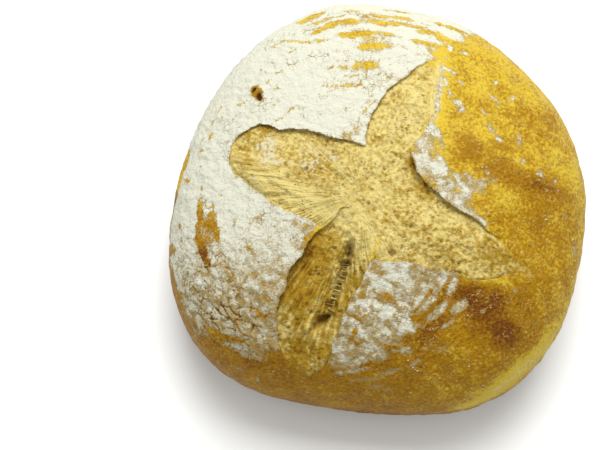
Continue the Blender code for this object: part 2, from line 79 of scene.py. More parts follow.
# How the skin lies round an opening
LIP_CURL_LENGTH = 6.0
LIP_LEAN_LENGTH = 3.0
WALL_RUN = 0.4
WALL_LEAST = 0.25
FLOOR_SETTLE = 5.0
OPENING_REACH = 40.0
DEPTH_BLEND_POWER = 3.0
DEPTH_BLEND_SOFT = 0.25
TORN_BLEND = 3.0
CURVE_STEPS = 8
ON_EDGE = 0.01
EDGE_CATCH = 0.58
# How ragged the lips tore: (size, amount)
LIP_FRAY = ((7.0, 0.9), (3.4, 0.7))

# Edges of the torn cross: (east, north, depth of the tear, rise of the lip, lean of the lip)
WEST_UPPER_LIP = (
    (-90.0, 20.0, 0.8, 0.1, 0.0),
    (-86.6, 30.2, 1.4, 0.3, 0.2),
    (-78.0, 35.8, 2.1, 0.5, 0.5),
    (-67.0, 37.0, 2.5, 0.6, 0.7),
    (-55.0, 33.2, 2.7, 0.7, 0.8),
    (-43.0, 31.0, 2.7, 0.7, 0.8),
    (-31.0, 26.0, 2.5, 0.7, 0.7),
    (-20.0, 23.2, 2.1, 0.6, 0.5),
    (-9.5, 19.0, 1.2, 0.4, 0.0),
)
NORTH_LEFT_LIP = (
    (-9.5, 19.0, 1.2, 0.4, 0.0),
    (-8.8, 27.5, 1.8, 0.5, 0.4),
    (-5.3, 37.0, 2.0, 0.6, 0.5),
    (0.4, 46.2, 1.9, 0.6, 0.4),
    (8.0, 54.5, 1.6, 0.5, 0.3),
    (16.4, 62.0, 1.1, 0.3, 0.2),
    (26.0, 69.5, 0.3, 0.1, 0.0),
)
NORTH_RIGHT_EDGE = (
    (26.0, 69.5, 0.3, 0.1, 0.0),
    (30.5, 69.0, 0.2, 0.3, 0.0),
    (31.0, 60.4, 0.3, 0.5, 0.0),
    (28.5, 48.0, 0.4, 0.6, 0.0),
    (26.0, 37.5, 0.5, 0.6, 0.0),
    (21.4, 26.0, 0.7, 0.6, 0.0),
    (14.2, 17.5, 1.4, 0.7, 0.0),
)
EAST_UPPER_LIP = (
    (14.2, 17.5, 1.4, 0.7, 0.0),
    (17.0, 9.6, 2.7, 1.0, 0.6),
    (22.2, -0.6, 3.2, 1.1, 0.8),
    (31.4, -9.3, 3.0, 1.0, 0.8),
    (41.0, -15.5, 2.2, 0.8, 0.6),
    (52.4, -21.7, 1.6, 0.6, 0.4),
    (60.0, -29.0, 0.6, 0.3, 0.0),
    (69.0, -35.6, 0.3, 0.2, 0.0),
    (79.0, -43.0, 0.1, 0.1, 0.0),
)
EAST_LOWER_LIP = (
    (79.0, -43.0, 0.1, 0.1, 0.0),
    (83.0, -47.6, 0.1, 0.1, 0.0),
    (80.0, -51.2, 0.1, 0.1, 0.0),
    (71.5, -48.6, 0.3, 0.3, 0.0),
    (63.0, -48.8, 0.7, 0.6, 0.0),
    (54.7, -50.2, 1.6, 0.9, 0.3),
    (44.0, -50.2, 2.4, 1.3, 0.4),
    (37.0, -47.3, 2.9, 1.6, 0.5),
    (26.6, -46.0, 2.9, 1.6, 0.5),
    (13.4, -43.9, 2.7, 1.5, 0.4),
    (0.0, -44.2, 2.2, 1.2, 0.3),
    (-7.1, -44.7, 1.4, 0.8, 0.0),
)
EAST_FOLD = (
    (-7.1, -44.7, 0.9, 0.2, 0.0),
    (-4.2, -35.5, 0.3, 0.0, 0.0),
    (-6.2, -27.0, 0.3, 0.0, 0.0),
    (-10.3, -21.0, 0.3, 0.0, 0.0),
    (-14.5, -13.4, 0.4, 0.0, 0.0),
)
WEST_FOLD = (
    (-14.5, -13.4, 0.4, 0.0, 0.0),
    (-21.2, -15.5, 0.4, 0.0, 0.0),
    (-26.4, -20.2, 0.5, 0.0, 0.0),
    (-31.5, -24.3, 0.6, 0.0, 0.0),
)
WEST_LOWER_LIP = (
    (-31.5, -24.3, 0.7, 0.1, 0.0),
    (-39.0, -19.9, 0.9, 0.3, 0.0),
    (-53.0, -13.5, 1.0, 0.4, 0.0),
    (-63.2, -8.6, 1.0, 0.4, 0.0),
    (-73.2, -1.3, 1.0, 0.4, 0.0),
    (-81.5, 6.0, 1.0, 0.3, 0.0),
    (-88.0, 13.5, 0.8, 0.2, 0.0),
    (-90.0, 20.0, 0.8, 0.1, 0.0),
)
CROSS = (WEST_UPPER_LIP, NORTH_LEFT_LIP, NORTH_RIGHT_EDGE, EAST_UPPER_LIP,
         EAST_LOWER_LIP, EAST_FOLD, WEST_FOLD, WEST_LOWER_LIP)

# Edges of the deeper hollow in the south arm
HOLLOW_WEST_FOLD = (
    (-31.5, -24.3, 1.9, 0.3, 0.0),
    (-26.4, -20.2, 2.2, 0.5, 0.1),
    (-21.2, -15.5, 1.6, 0.4, 0.0),
    (-14.5, -13.4, 0.4, 0.1, 0.0),
)
HOLLOW_EAST_FOLD = (
    (-14.5, -13.4, 0.4, 0.1, 0.0),
    (-10.3, -21.0, 0.3, 0.1, 0.0),
    (-6.2, -27.0, 0.2, 0.1, 0.0),
    (-4.2, -35.5, 0.1, 0.1, 0.0),
    (-7.1, -44.7, 0.4, 0.3, 0.0),
)
SOUTH_RIGHT_LIP = (
    (-7.1, -44.7, 0.9, 0.7, 0.0),
    (-10.0, -50.0, 1.9, 1.3, 0.2),
    (-13.1, -56.8, 2.8, 2.0, 0.3),
    (-17.6, -63.6, 3.0, 2.2, 0.3),
    (-18.9, -69.4, 3.0, 2.2, 0.3),
    (-22.2, -73.8, 2.8, 2.0, 0.3),
    (-23.6, -80.0, 2.4, 1.6, 0.2),
    (-27.0, -87.0, 1.4, 0.9, 0.1),
    (-29.3, -96.0, 0.9, 0.6, 0.0),
    (-34.7, -105.2, 0.2, 0.1, 0.0),
)
SOUTH_END = (
    (-34.7, -105.2, 0.2, 0.1, 0.0),
    (-43.0, -108.0, 0.1, 0.0, 0.0),
    (-51.4, -99.8, 0.3, 0.1, 0.0),
)
SOUTH_LEFT_LIP = (
    (-51.4, -99.8, 0.3, 0.1, 0.0),
    (-55.2, -90.0, 1.0, 0.3, 0.1),
    (-55.4, -79.0, 1.8, 0.5, 0.3),
    (-54.0, -66.0, 2.6, 0.7, 0.5),
    (-50.4, -54.5, 3.2, 0.8, 0.6),
    (-46.6, -43.5, 3.5, 0.9, 0.7),
    (-41.2, -36.8, 3.5, 0.8, 0.7),
    (-36.2, -28.8, 3.0, 0.6, 0.5),
    (-31.5, -24.3, 2.0, 0.3, 0.0),
)
HOLLOW = (HOLLOW_WEST_FOLD, HOLLOW_EAST_FOLD, SOUTH_RIGHT_LIP, SOUTH_END, SOUTH_LEFT_LIP)

# Swellings (+) and sinkings (-) of the torn dough: (east, north, length, width, bearing in degrees, height)
DOUGH_SWELLS = (
    (-56.0, 8.0, 26.0, 12.0, -12.0, 2.6),
    (-30.0, 2.0, 20.0, 12.0, -30.0, 1.4),
    (6.0, 36.0, 26.0, 9.0, 62.0, 1.6),
    (34.0, -31.0, 34.0, 11.0, -26.0, 2.0),
    (-40.0, -58.0, 20.0, 7.0, 62.0, 1.8),
    (-24.0, -56.0, 26.0, 7.0, 62.0, -3.4),
    (-2.0, -8.0, 12.0, 10.0, 0.0, -1.0),
)
# The tear at the bottom of the hollow, its depth, and its half width on the west and on the east side
TEAR_LINE = ((-17.6, -30.5), (-16.9, -37.5), (-19.4, -45.0), (-22.2, -53.0), (-25.6, -61.5),
             (-28.6, -70.0), (-32.0, -76.4), (-37.6, -81.5))
TEAR_DEPTH = 5.2
TEAR_HALF_WIDTHS = (2.8, 0.9)
TEAR_RUN_OUT = 6.0
# How far a groove and the tear are on the way from none (0) to their full depth (1) at their very ends
GROOVE_END = 0.25
TEAR_END = 0.2
# A hole's flat middle and its wall, as shares of its radius
PIT_FLOOR = 0.45
PIT_WALL = 0.75
# How ragged the tear, the holes and the charred pits are
HOLE_FRAY = ((3.2, 1.1), (1.7, 0.5))
# Large holes: (east, north, radius, depth)
HOLES = (
    (-18.7, -37.0, 3.3, 3.4),
    (-20.6, -44.6, 2.6, 2.6),
    (-33.4, -76.4, 3.4, 4.2),
    (-37.8, -77.6, 1.5, 2.6),
    (4.1, -39.0, 2.1, 2.2),
    (38.2, -44.9, 1.6, 1.6),
    (-4.6, 33.6, 1.4, 1.6),
)
# Folds of the torn dough: (east, north) points, half width and height, sunk where negative
DOUGH_FOLDS = (
    (((-14.6, -13.4), (-14.9, -4.0), (-14.0, 6.0), (-12.6, 16.0)), 1.3, 0.8),
    (((-14.6, -13.4), (-10.0, -18.5), (-4.0, -25.0), (2.0, -29.5)), 2.2, 1.2),
    (((-14.6, -13.4), (-20.5, -14.6), (-26.0, -19.4), (-31.0, -23.6)), 1.4, 0.9),
    (((-85.6, 19.0), (-84.4, 23.0), (-81.2, 26.6), (-77.4, 29.6)), 0.8, -1.3),
    (((-87.4, 17.5), (-86.6, 23.0), (-83.4, 28.0), (-79.0, 31.4)), 1.2, 0.7),
    (((-48.0, -52.0), (-50.0, -66.0), (-49.0, -80.0)), 1.6, 0.7),
    (((-40.0, -40.0), (-43.6, -56.0), (-42.0, -74.0), (-38.0, -88.0)), 1.5, 0.8),
    (((-12.6, -24.0), (-13.6, -34.0), (-17.0, -48.0), (-22.4, -62.0), (-27.4, -75.0)), 1.3, 0.9),
    (((-66.0, 4.0), (-56.0, -1.0), (-44.0, -8.0), (-30.0, -12.0)), 1.4, 0.6),
)
# A blister that burnt, with the columns of a swelling, and its two charred pits, with those of a hole
BLISTER = (-70.3, 58.6, 6.0, 4.5, -40.0, 1.4)
CHARRED_PITS = ((-72.2, 61.0, 2.1, 1.5), (-68.8, 55.4, 2.6, 1.6))
# The split low on the west side: (east, north) of its ends, half width and depth
SIDE_SPLIT = ((-127.5, 27.0), (-134.0, 16.0), (-137.0, 4.0), (-137.5, -6.0))
SPLIT_HALF_WIDTH = 2.6
SPLIT_DEPTH = 1.8
# The fold left by shaping on the east side
SHAPING_FOLD = ((40.0, 27.0), (62.0, 20.0), (86.0, 5.0), (108.0, -6.0))
FOLD_HALF_WIDTH = 6.5
FOLD_HEIGHT = 1.3

# Unevenness of the crust: (lump size, height)
CRUST_LUMPS = ((46.0, 1.5), (19.0, 0.6), (8.0, 0.24))
TORN_LUMPS = ((11.0, 0.9), (5.0, 0.6), (2.6, 0.35))
# Flour that dried and cracked into flakes on the south-west side
FLAKE_PLACE = (-88.0, -62.0, 40.0, 25.0, -40.0)
FLAKE_SIZE = (8.2, 5.2)
FLAKES_ACROSS = 2.1
FLAKE_BEARING = -38.0
FLAKE_WARP = ((6.0, 1.9), (2.3, 0.7))
FLAKE_JITTER = 0.46
FLAKE_STEP = 0.3
FLAKE_TIP = 0.85
# Gaps between flakes as shares of their size: usual width, how much it varies, and width of the small cracks
FLAKE_GAP = (0.10, 0.12)
FLAKE_CRACK = 0.13
FLAKE_GAP_DEPTH = 1.0
FLAKE_GAP_LEAST = 0.03
# Patches in which the gaps widen and in which small cracks show: (size, amount, turn)
GAP_PATCHES = (13.0, 1.0, 2.2)
CRACK_PATCHES = (9.0, 1.6, 3.1)
CRACK_SHARE = 0.35
# How strongly the cracks and the slopes of the small flakes show
SMALL_CRACKS = 0.7
SMALL_SLOPES = 0.4
# Noise: cells of its table a side, and its seed
NOISE_CELLS = 64
SEED = 7

# Mesh of the baked surface: coarse rings, halved once where the crust has fine detail
RING_STEP = 1.34
CAP_RINGS = 108
SIDE_STEP = 2.2
FINE_MARGIN = 4.0
FINE_FLOUR_MARGIN = 1.0
FINE_FLAKES = 0.2
FOOT_RINGS = 8

# Relief finer than the solid's
FINE_CRUST_LUMPS = ((5.2, 0.24), (3.0, 0.2))
FINE_TORN_LUMPS = ((3.4, 0.42), (1.9, 0.34), (1.15, 0.2))
FIBRE_RELIEF = 0.75
FIBRE_WIDTH = 1.7
FIBRES_SMOOTH = 0.6
FLOUR_THICKNESS = 0.22
# Creases in the thick flour: depth, lumps (size, amount, turn), and how much less of them the flakes have
CRUMPLE = 0.85
CRUMPLE_LUMPS = ((6.0, 1.0, 0.5), (3.1, 0.5, 1.1))
FLAKES_SMOOTH = 0.7
# The cover at which flour starts to have thickness, and how much more gives it the whole of it
THICK_FROM = 0.3
THICK_OVER = 0.45

# Where the torn dough's fibres and the proving basket's rings run round, each with the radius of the cylinder
# that their noise is wrapped on and how far it is drawn out
FIBRE_CENTRE = (-12.0, -8.0)
FIBRE_WRAP = (50.0, 8.0)
RINGS_CENTRE = (-27.0, -20.0)
RINGS_WRAP = (105.0, 5.0)
BASKET_RING_WIDTH = 3.4

# Flour: outlines of the thickly floured skin
WEST_FLOUR = (
    (30, 72), (31, 82), (41, 90), (56, 98), (66, 110), (52, 140), (-40, 160), (-110, 120), (-150, 50),
    (-152, 0), (-139, -20), (-132, -36), (-123, -50), (-116, -60), (-111, -68), (-103, -75), (-94, -80),
    (-85, -84), (-76, -89), (-67, -92), (-57, -89), (-48, -82), (-42, -50), (-25, -15), (0, 10), (18, 50),
)
SOUTH_EAST_FLOUR = (
    (-13, -42), (10, -39), (28, -41), (38, -45), (31, -52), (26, -60), (20, -68), (15, -73), (20, -76),
    (16, -81), (9, -86), (14, -92), (3, -99), (-12, -102), (-27, -104), (-34, -97), (-30, -84), (-25, -72),
    (-20, -57),
)
NORTH_EAST_FLOUR = (
    (17, 15), (19, 24), (25, 33), (30, 29), (31, 18), (34, 9), (40, 4), (47, 3), (48, -5), (43, -12),
    (50, -19), (52, -22), (40, -16), (28, -8), (21, 1),
)
# How the edge of the flour frayed: (size, amount)
FLOUR_FRAY = ((13.0, 3.0), (6.0, 2.4), (2.8, 1.4))
# Each outline's share of that fray, over how many millimetres its flour fades, and where on the fade it lies
WEST_EDGE = (1.0, 11.0, 0.45)
SOUTH_EAST_EDGE = (0.6, 4.0, 0.5)
NORTH_EAST_EDGE = (0.8, 4.0, 0.5)
# How much flour lies inside each outline, with its lumps: (size, amount, turn)
WEST_COVER = 1.06
WEST_LUMPS = ((4.4, 0.12, 0.8),)
SOUTH_EAST_COVER = 0.91
SOUTH_EAST_LUMPS = ((7.0, 0.56, 0.4), (3.0, 0.4, 0.9))
NORTH_EAST_COVER = 0.82
NORTH_EAST_LUMPS = ((5.0, 0.5, 0.4), (2.4, 0.2, 0.9))
# How strongly the basket's rings show where the flour is thin, and on the south-east flap
THIN_RINGS = 1.6
SOUTH_EAST_RINGS = 0.3
# Where the flour of the west is thinner: (east, north, half length, half width, bearing, amount)
THIN_PLACES = (
    (-4, 90, 46, 24, 0, 0.34), (-12, 50, 40, 16, 0, 0.16), (-62, -64, 26, 12, 62, 0.2),
    (-85, -40, 50, 34, 0, 0.16),
)
# Strokes and bare places are pushed about by lumps of this size, this far, with these turns
PUSH_SIZE = 2.2
PUSH = 0.7
PUSH_TURNS = (0.2, 1.4)
# A patch's full middle, over what it fades and how far out it is worked out, as shares of its half size
PATCH_MIDDLE = 0.5
PATCH_FADE = 0.9
PATCH_REACH = 1.6
# Usual strength of the strokes and of the bare places, with their lumps: (size, amount, turn)
STROKE_COVER = 0.85
STROKE_LUMPS = ((1.6, 0.5, 0.7),)
BARE_SHARE = 0.9
BARE_LUMPS = ((2.6, 0.35, 2.0),)
# Where the flour ends low on the side: distance from the crown, width, lumps and the share that goes
FLOUR_ENDS_AT = 131.0
FLOUR_ENDS_OVER = 16.0
FLOUR_END_LUMPS = ((24.0, 9.0, 0.0), (9.0, 4.0, 0.0))
FLOUR_END_LOSS = 0.75
MOST_FLOUR = 1.2
# Flour stops this far inside an opening, and is thinner on its lip: over this width, by this share
TORN_CLEAR = 0.6
BARE_LIP_WIDTH = 1.1
BARE_LIP = 0.35
# A pale band along the lip of the south-east flap, partly flour that lies up to the lip and partly a painted
# highlight on its edge: its place, width, cover and how much whiter it is
RIM_PLACE = (0.0, -60.0, 34.0, 26.0)
RIM_WIDTH = 0.8
RIM_COVER = 0.66
RIM_HIGHLIGHT_WHITE = 0.12
# Cover at which flour has dried into whole flakes, and how bare their gaps and the thin cracks are
FLAKED_COVER = 0.6
GAP_BARE = 0.85
GAP_SLOPE = 1.6
GAP_START = 0.5
CRACK_BARE = 0.9
# How white the thick flour is: its level, how it changes towards the east and north over a run, and limits
WHITE_LEVEL = 0.84
WHITE_SLOPE = (-0.55, 0.92)
WHITE_RUN = 230.0
WHITE_LIMITS = (0.3, 1.12)
WHITE_PLACES = ((4, -72, 40, 30, 0, 0.16), (-85, -62, 42, 30, 0, -0.24))
# Single strokes and patches of flour: (east, north, half length, half width, bearing, thickness)
FLOUR_STROKES = (
    (34, -54, 6, 2.4, 72, 1.1), (27, -68, 9.5, 2.2, 50, 1.1), (38.5, -64, 5.5, 2.9, 42, 1.1),
    (33, -74, 5, 1.1, 48, 0.9), (8, -83, 6, 2.4, 38, 1.0), (-18, -106, 11, 1.9, 8, 0.9),
    (4, -106, 9, 1.6, 24, 0.9), (17, -98, 4, 1.6, 38, 0.8), (24, -87, 4.5, 1.1, 50, 0.7),
    (31, -88, 4, 1.2, 24, 0.7), (-10, -112, 11, 1.4, 6, 0.7), (-4, -117.5, 5, 1.5, 14, 0.9),
    (12, -92, 4, 2.6, 30, 0.9), (-72, -107, 2.6, 1.8, 70, 0.9), (-94, -97, 5, 1.3, -35, 0.6),
    (-82, -99, 5, 1.3, -20, 0.55), (2, -118, 8, 1.2, 14, 0.5), (30, -107, 12, 1.0, 28, 0.45),
    (-24, -128, 8, 1.3, -6, 0.45), (64, -98, 9, 0.9, 42, 0.45), (84, -73, 6, 0.9, 45, 0.5),
    (39, 66, 5, 1.3, -30, 1.0), (45.5, 60, 2.6, 1.1, -50, 0.9), (36.5, 58, 4, 1.1, -80, 0.8),
    (43, 45, 5, 2.8, -55, 0.8), (38, 50, 4, 1.6, -65, 0.6), (58, 42, 3.4, 1.0, -62, 0.9),
    (61.5, 32, 4.2, 1.5, -72, 1.0), (64.5, 26.5, 2.4, 1.6, -40, 1.0), (77, 27, 4.6, 1.5, -82, 0.9),
    (66, 51.5, 4, 1.5, -45, 1.0), (76, 54.5, 3.6, 1.0, 32, 1.0), (67, 64, 2.4, 1.2, 65, 0.9),
    (47, 93.5, 5, 2.2, -8, 1.0), (40.5, 83, 3, 2.2, -70, 1.0), (49, 82, 3, 1.4, 0, 0.9),
    (88.5, 8.5, 3, 1.8, -68, 1.1), (99.5, 6, 1.8, 1.1, 85, 1.0), (57, 6, 1.4, 1.2, 0, 1.0),
    (103, 18, 1.6, 1.0, 80, 0.9), (96, 15, 1.3, 0.9, 0, 0.8), (78, 14.5, 2.2, 1.2, 0, 0.8),
    (108, -14, 2.4, 1.0, 85, 0.9), (115.5, -33, 4.6, 2.2, 72, 1.1), (69, -56, 1.6, 1.0, 0, 0.9),
    (51, -66, 2.2, 1.2, 10, 0.9), (66.5, -61, 2.2, 0.8, 50, 0.8), (82, -31, 1.6, 0.9, 0, 0.8),
    (38, 75.5, 1.4, 0.9, 0, 0.9), (50, -2, 7, 4.0, -30, 0.6), (57, 1, 7, 3.0, 10, 0.45),
    (31.5, 52, 17, 2.4, 80, 0.72), (24.5, 30, 12, 2.0, 62, 0.6), (108, 10, 1.4, 1.0, 0, 0.8),
    (97, -38, 1.3, 1.1, 0, 0.7), (102, -58, 1.4, 0.8, 30, 0.8),
)
# Places in the flour where it has gone or has been rubbed thin, in the same columns
BARE_PLACES = (
    (-30, 95, 8, 1.9, 16, 1.0), (-28, 104, 11, 1.8, 6, 0.85), (-14, 88, 12, 2.8, 0, 0.9),
    (2, 105.5, 9, 1.6, -3, 1.0), (14, 105.5, 7, 1.9, -4, 1.1), (8, 98, 9, 2.0, -5, 0.9),
    (30, 94, 9, 2.0, 6, 1.1), (25, 84, 8, 1.6, -6, 0.9), (39, 90, 6, 2.6, -10, 1.1),
    (-9, 65, 10, 3.0, 4, 0.66), (-2, 78, 10, 2.6, 2, 0.68), (3, 88, 7, 1.8, -6, 0.66),
    (-38, 111, 10, 4.0, 20, 1.2), (-44, 88.5, 8, 0.8, -22, 0.8), (-32, 86, 4, 0.9, -14, 0.9),
    (-13, 98, 2.2, 2.4, 70, 0.9), (45, 103, 12, 2.2, -14, 1.2), (13, 114, 9, 1.4, -4, 1.0),
    (33, 78, 4, 1.6, 35, 1.0), (-22, 66, 9, 0.8, 0, 0.7), (-12, 60, 9, 0.8, -2, 0.6),
    (-48, 82, 4, 0.7, 35, 0.8), (-23, 99, 9, 1.4, 8, 0.7), (22, 98, 8, 1.0, -4, 0.8),
    (-15, 110, 7, 1.4, 4, 0.7), (8, 44, 4, 1.2, 40, 0.5), (-6, 45, 3.5, 1.6, 60, 0.6),
    (-104, 38, 3.2, 1.6, 65, 1.1), (-110, 29.5, 2.6, 1.2, -10, 1.0), (-119.5, 11.5, 4.2, 1.5, -22, 1.2),
    (-105, 3, 2.2, 1.1, -60, 0.9), (-97, 56, 3.6, 1.1, 50, 1.0), (-103, 48, 3.0, 1.2, 62, 0.9),
    (-110.5, 37, 3.0, 1.3, 60, 0.8), (-84, 54, 2.6, 0.8, 0, 0.8), (-80.5, 65, 3.2, 0.8, -30, 0.8),
    (-67.5, 73, 3.4, 1.0, -42, 0.9), (-60, 76, 2.6, 0.9, -55, 0.8), (-60.5, 90, 2.8, 0.9, -30, 0.7),
    (-95, -10, 1.8, 1.2, 0, 1.1), (-83, 38.5, 2.0, 0.8, 20, 0.8), (-118, -18, 3.6, 1.0, -24, 0.8),
    (-69, -33, 3.0, 1.5, -18, 0.7), (-66, -18, 2.6, 1.1, -25, 0.55), (-79, -19, 1.1, 2.0, 40, 0.6),
    (-70.5, 58.4, 6.4, 3.8, 116, 1.2), (-63.6, 64.0, 2.6, 0.8, 40, 0.9), (-58.5, 58, 1.6, 0.8, 20, 0.9),
    (-57, 68.5, 4.0, 0.8, 10, 0.8), (-116, 15, 3.0, 0.7, -10, 0.7), (-95, 49, 1.6, 0.8, 0, 0.7),
    (-87, 44, 1.2, 0.8, 40, 0.7), (-109, 18, 3, 0.7, 12, 0.7), (-129, -30, 6, 3.4, 8, 1.1),
    (-122, -31, 2.6, 1.6, 70, 0.9), (-103, -74, 7, 2.0, -58, 0.6), (-103, -14, 11.5, 2.2, -80, 1.25),
    (-98, -31, 10.5, 2.9, -58, 1.25), (-94, -15, 3.4, 2.4, -30, 0.9), (-89.5, -23, 7.5, 1.6, -68, 0.85),
    (-95, -23, 9.5, 5.0, -66, 0.66), (-121, -58, 9, 4.0, -66, 1.0), (-87, -77, 11, 2.4, -24, 1.0),
    (-80, -80, 7, 2.0, -8, 0.8), (-92, -86, 10, 2.4, -38, 1.0), (-62, -69, 5.5, 1.4, -64, 0.5),
    (-66, -87, 6, 3.4, -50, 0.5), (-59, -58, 4, 1.2, -60, 0.35), (-17, -74, 6, 1.0, -35, 0.9),
    (-17, -85, 6, 1.2, 62, 0.6), (-18, -64, 4, 1.4, 60, 0.4), (-11, -61, 10, 1.9, 66, 0.42),
    (-23, -82, 11, 1.8, 66, 0.36), (14, -47.5, 17, 1.5, 2, 0.38), (18, -73, 5, 1.3, -8, 1.1),
    (21, -62, 8, 1.1, 56, 1.0), (30.5, -56, 5, 1.0, 70, 1.1), (4, -91, 4, 1.5, 12, 0.9),
    (-6, -78, 5, 0.9, 34, 0.6), (8, -76, 3, 1.0, -60, 0.8), (-12, -97, 8, 0.9, 14, 0.6),
    (-1, -52, 5, 2.0, 40, 0.3), (14, -48, 7, 1.6, 10, 0.25), (38, 1, 7, 1.1, -52, 0.6),
    (32, 14, 6, 1.0, -70, 0.7), (42, -6, 4, 0.9, -20, 0.5), (-130, 26, 12, 5.0, 62, 1.8),
    (-135, 11, 13, 7.0, 76, 2.0), (-138, -2, 9, 7.0, 88, 2.0), (-39, -24, 9, 2.2, -22, 0.45),
    (-37, -30, 5, 3, 45, 0.5), (-16, 27, 7, 4, 40, 0.5),
)
# Thin cracks in the flour: (east, north) points, half width and depth
FLOUR_CRACKS = (
    (((-60.5, 37.6), (-56.0, 39.5), (-52.0, 42.6), (-47.4, 45.4)), 0.7, 0.6),
    (((-12.5, 33.0), (-7.0, 40.5), (-2.5, 44.5)), 0.5, 0.15),
    (((-84.0, 52.5), (-78.5, 54.6), (-75.0, 54.0)), 0.6, 0.3),
    (((-31.0, 55.0), (-22.0, 54.2), (-9.0, 53.6)), 0.5, 0.2),
    (((-62.0, 92.0), (-55.0, 93.0), (-49.0, 90.5), (-42.0, 87.8), (-36.0, 84.6)), 0.6, 0.25),
    (((-60.0, 47.0), (-56.0, 51.0), (-54.0, 53.0)), 0.5, 0.2),
)
# Browning everywhere and below the widest ring; towards the south, partly browning and partly painted shade
# on the side away from the light; and painted shade in the gaps between flakes
BROWN_EVEN = 0.12
SOUTH_BROWN_AND_SHADE = 0.42
BROWN_BELOW = 0.72
GAP_SHADE = 0.6
# The south side darkens from this far north of the crown, less towards the east, over this run
SOUTH_SIDE_FROM = 30.0
SOUTH_SIDE_SLANT = 0.4
SOUTH_SIDE_RUN = 160.0
# The side browns from this far above the widest ring, over this run
BELOW_FROM = 5.0
BELOW_RUN = 32.0
# Dark lips, scorched on their edges and painted shade on the wall inside below a leaning lip: lean at which
# they are darkest, width outside, width inside and what a millimetre of lean adds to it, strength, and a
# paler place with how much paler it is
SCORCH_SHADE_LEAN = 0.6
SCORCH_SHADE_OUTSIDE = 0.5
SCORCH_SHADE_INSIDE = (0.4, 0.5)
SCORCH_SHADE_STRENGTH = 0.7
PALE_LIP = (50.0, -50.0, 18.0, 6.0)
PALE_LIP_SHARE = 0.8
# Skin turns to crumb over this width, and this much more a millimetre that a lip is shallower than a deep one
CRUMB_BLEND = 0.5
CRUMB_BLEND_SHALLOW = 7.0
DEEP_LIP = 0.8
# Browner crust, and paler where the amount is negative: (east, north, half length, half width, bearing,
# amount)
BROWN_PLACES = (
    (54, -66, 26, 14, -36, 0.38), (42, -58, 12, 8, -40, 0.3), (62, -77, 14, 6, -16, 0.1),
    (56, -57, 14, 4, -10, 0.12), (16.5, 10, 4.5, 2.2, -66, 0.9), (24, -3, 6, 1.8, -50, 0.7),
    (47, 18, 10, 6, -30, 0.3), (58, 8, 12, 7, -30, 0.34), (82, 5, 20, 8.0, -20, 0.46),
    (95, 40, 20, 16, 0, 0.24), (56, -67, 10, 7, -45, 0.18), (58, -20, 13, 5, -28, 0.14),
    (86, -16, 14, 10, 0, 0.14), (62, 22, 12, 3.0, -12, 0.2), (95, 0, 16, 3.0, -8, 0.2),
    (24, -79, 12, 5.0, 48, 0.42), (-66, -99, 24, 10, -10, 0.1), (-136, 1, 5, 7, 0, 1.5),
    (-132, 18, 9, 10, 15, -0.4), (-97, -26, 6, 13, 0, 0.16), (-96, -36, 5, 6, 0, 0.5),
    (-70.3, 59, 8, 6, 0, 0.45), (-24, -70, 3, 12, 70, 0.2), (2, -92, 20, 16, 0, 0.2),
    (58, -74, 14, 7, -30, 0.16), (96, -24, 34, 26, 0, 0.3), (76, -58, 24, 16, 0, 0.16),
    # The paler patches at (80, -100) and (60, -124) are a painted highlight along the south-east rim, light
    # thrown up by the table
    (60, 78, 30, 20, 0, -0.02), (66, 40, 30, 22, 0, 0.08), (80, -100, 32, 8, 42, -0.85),
    (60, -124, 16, 6, 30, -0.5), (29.5, 50, 24, 4.5, 80, -1.1), (40, -116, 26, 7, 16, -0.15),
    (10, 60, 10, 5, 40, -0.1), (100, -30, 20, 14, 0, -0.04), (-6, -29, 18, 5, 80, -1.1),
    (-23, -18, 12, 4, 33, -1.0), (-11, -19, 9, 6, -60, -1.2), (54, -50, 12, 3, -5, -0.6),
    (4, -62, 26, 18, 0, 0.26), (72, 16, 16, 2.5, -25, -0.2), (72, -82, 20, 10, 40, 0.12),
)
# Flour dust and darker bake on the torn dough, in the same columns
CRUMB_DUST = (
    (-64, 25, 9, 5.5, -15, 0.9), (-66, 17, 5, 8, 20, 0.7), (-58, 12, 9, 4, -10, 0.7),
    (-40, 9, 11, 7, -20, 0.72), (-40, 20, 10, 4, -16, 0.5), (-26, 14, 9, 5, -30, 0.6),
    (-72, 4, 6, 3, -38, 0.55), (-20, 0, 9, 9, 0, 0.35), (10, 28, 12, 10, 60, 0.35),
    (16, 44, 14, 8, 60, 0.35), (24, -8, 16, 10, -30, 0.3), (-3, -14, 9, 6, 30, 0.5),
    (-38, -100, 9, 10, 60, 0.5), (45, -35, 26, 9, -24, 0.3), (-24, -17, 7, 4, -35, 0.5),
    (-6, 2, 12, 9, 60, 0.3), (-8, -36, 4, 12, 0, 0.35),
)
CRUMB_BAKE = (
    (-44, -56, 11, 34, 0, 0.55), (-34, -34, 14, 13, 0, 0.6), (-30, -60, 8, 20, 15, 0.2),
    (-19, -62, 5, 24, -18, 0.42), (-42, -98, 16, 13, 0, 0.45), (66, -40, 20, 10, -24, 0.4),
    (-76, 14, 12, 10, 0, 0.14), (-40, 8, 14, 9, -20, 0.3), (-48, -6, 30, 7, -32, -0.32),
    (30, -30, 30, 12, -24, 0.1), (-24, -17, 8, 4, -35, -0.5), (-14, -36, 4, 8, 0, -0.3),
    (-70, 33, 16, 3, 0, 0.3), (14.5, 9, 5, 2.4, -66, 0.9), (21, -6, 7, 2.4, -50, 0.7),
    (20, 40, 20, 10, 60, -0.08),
)
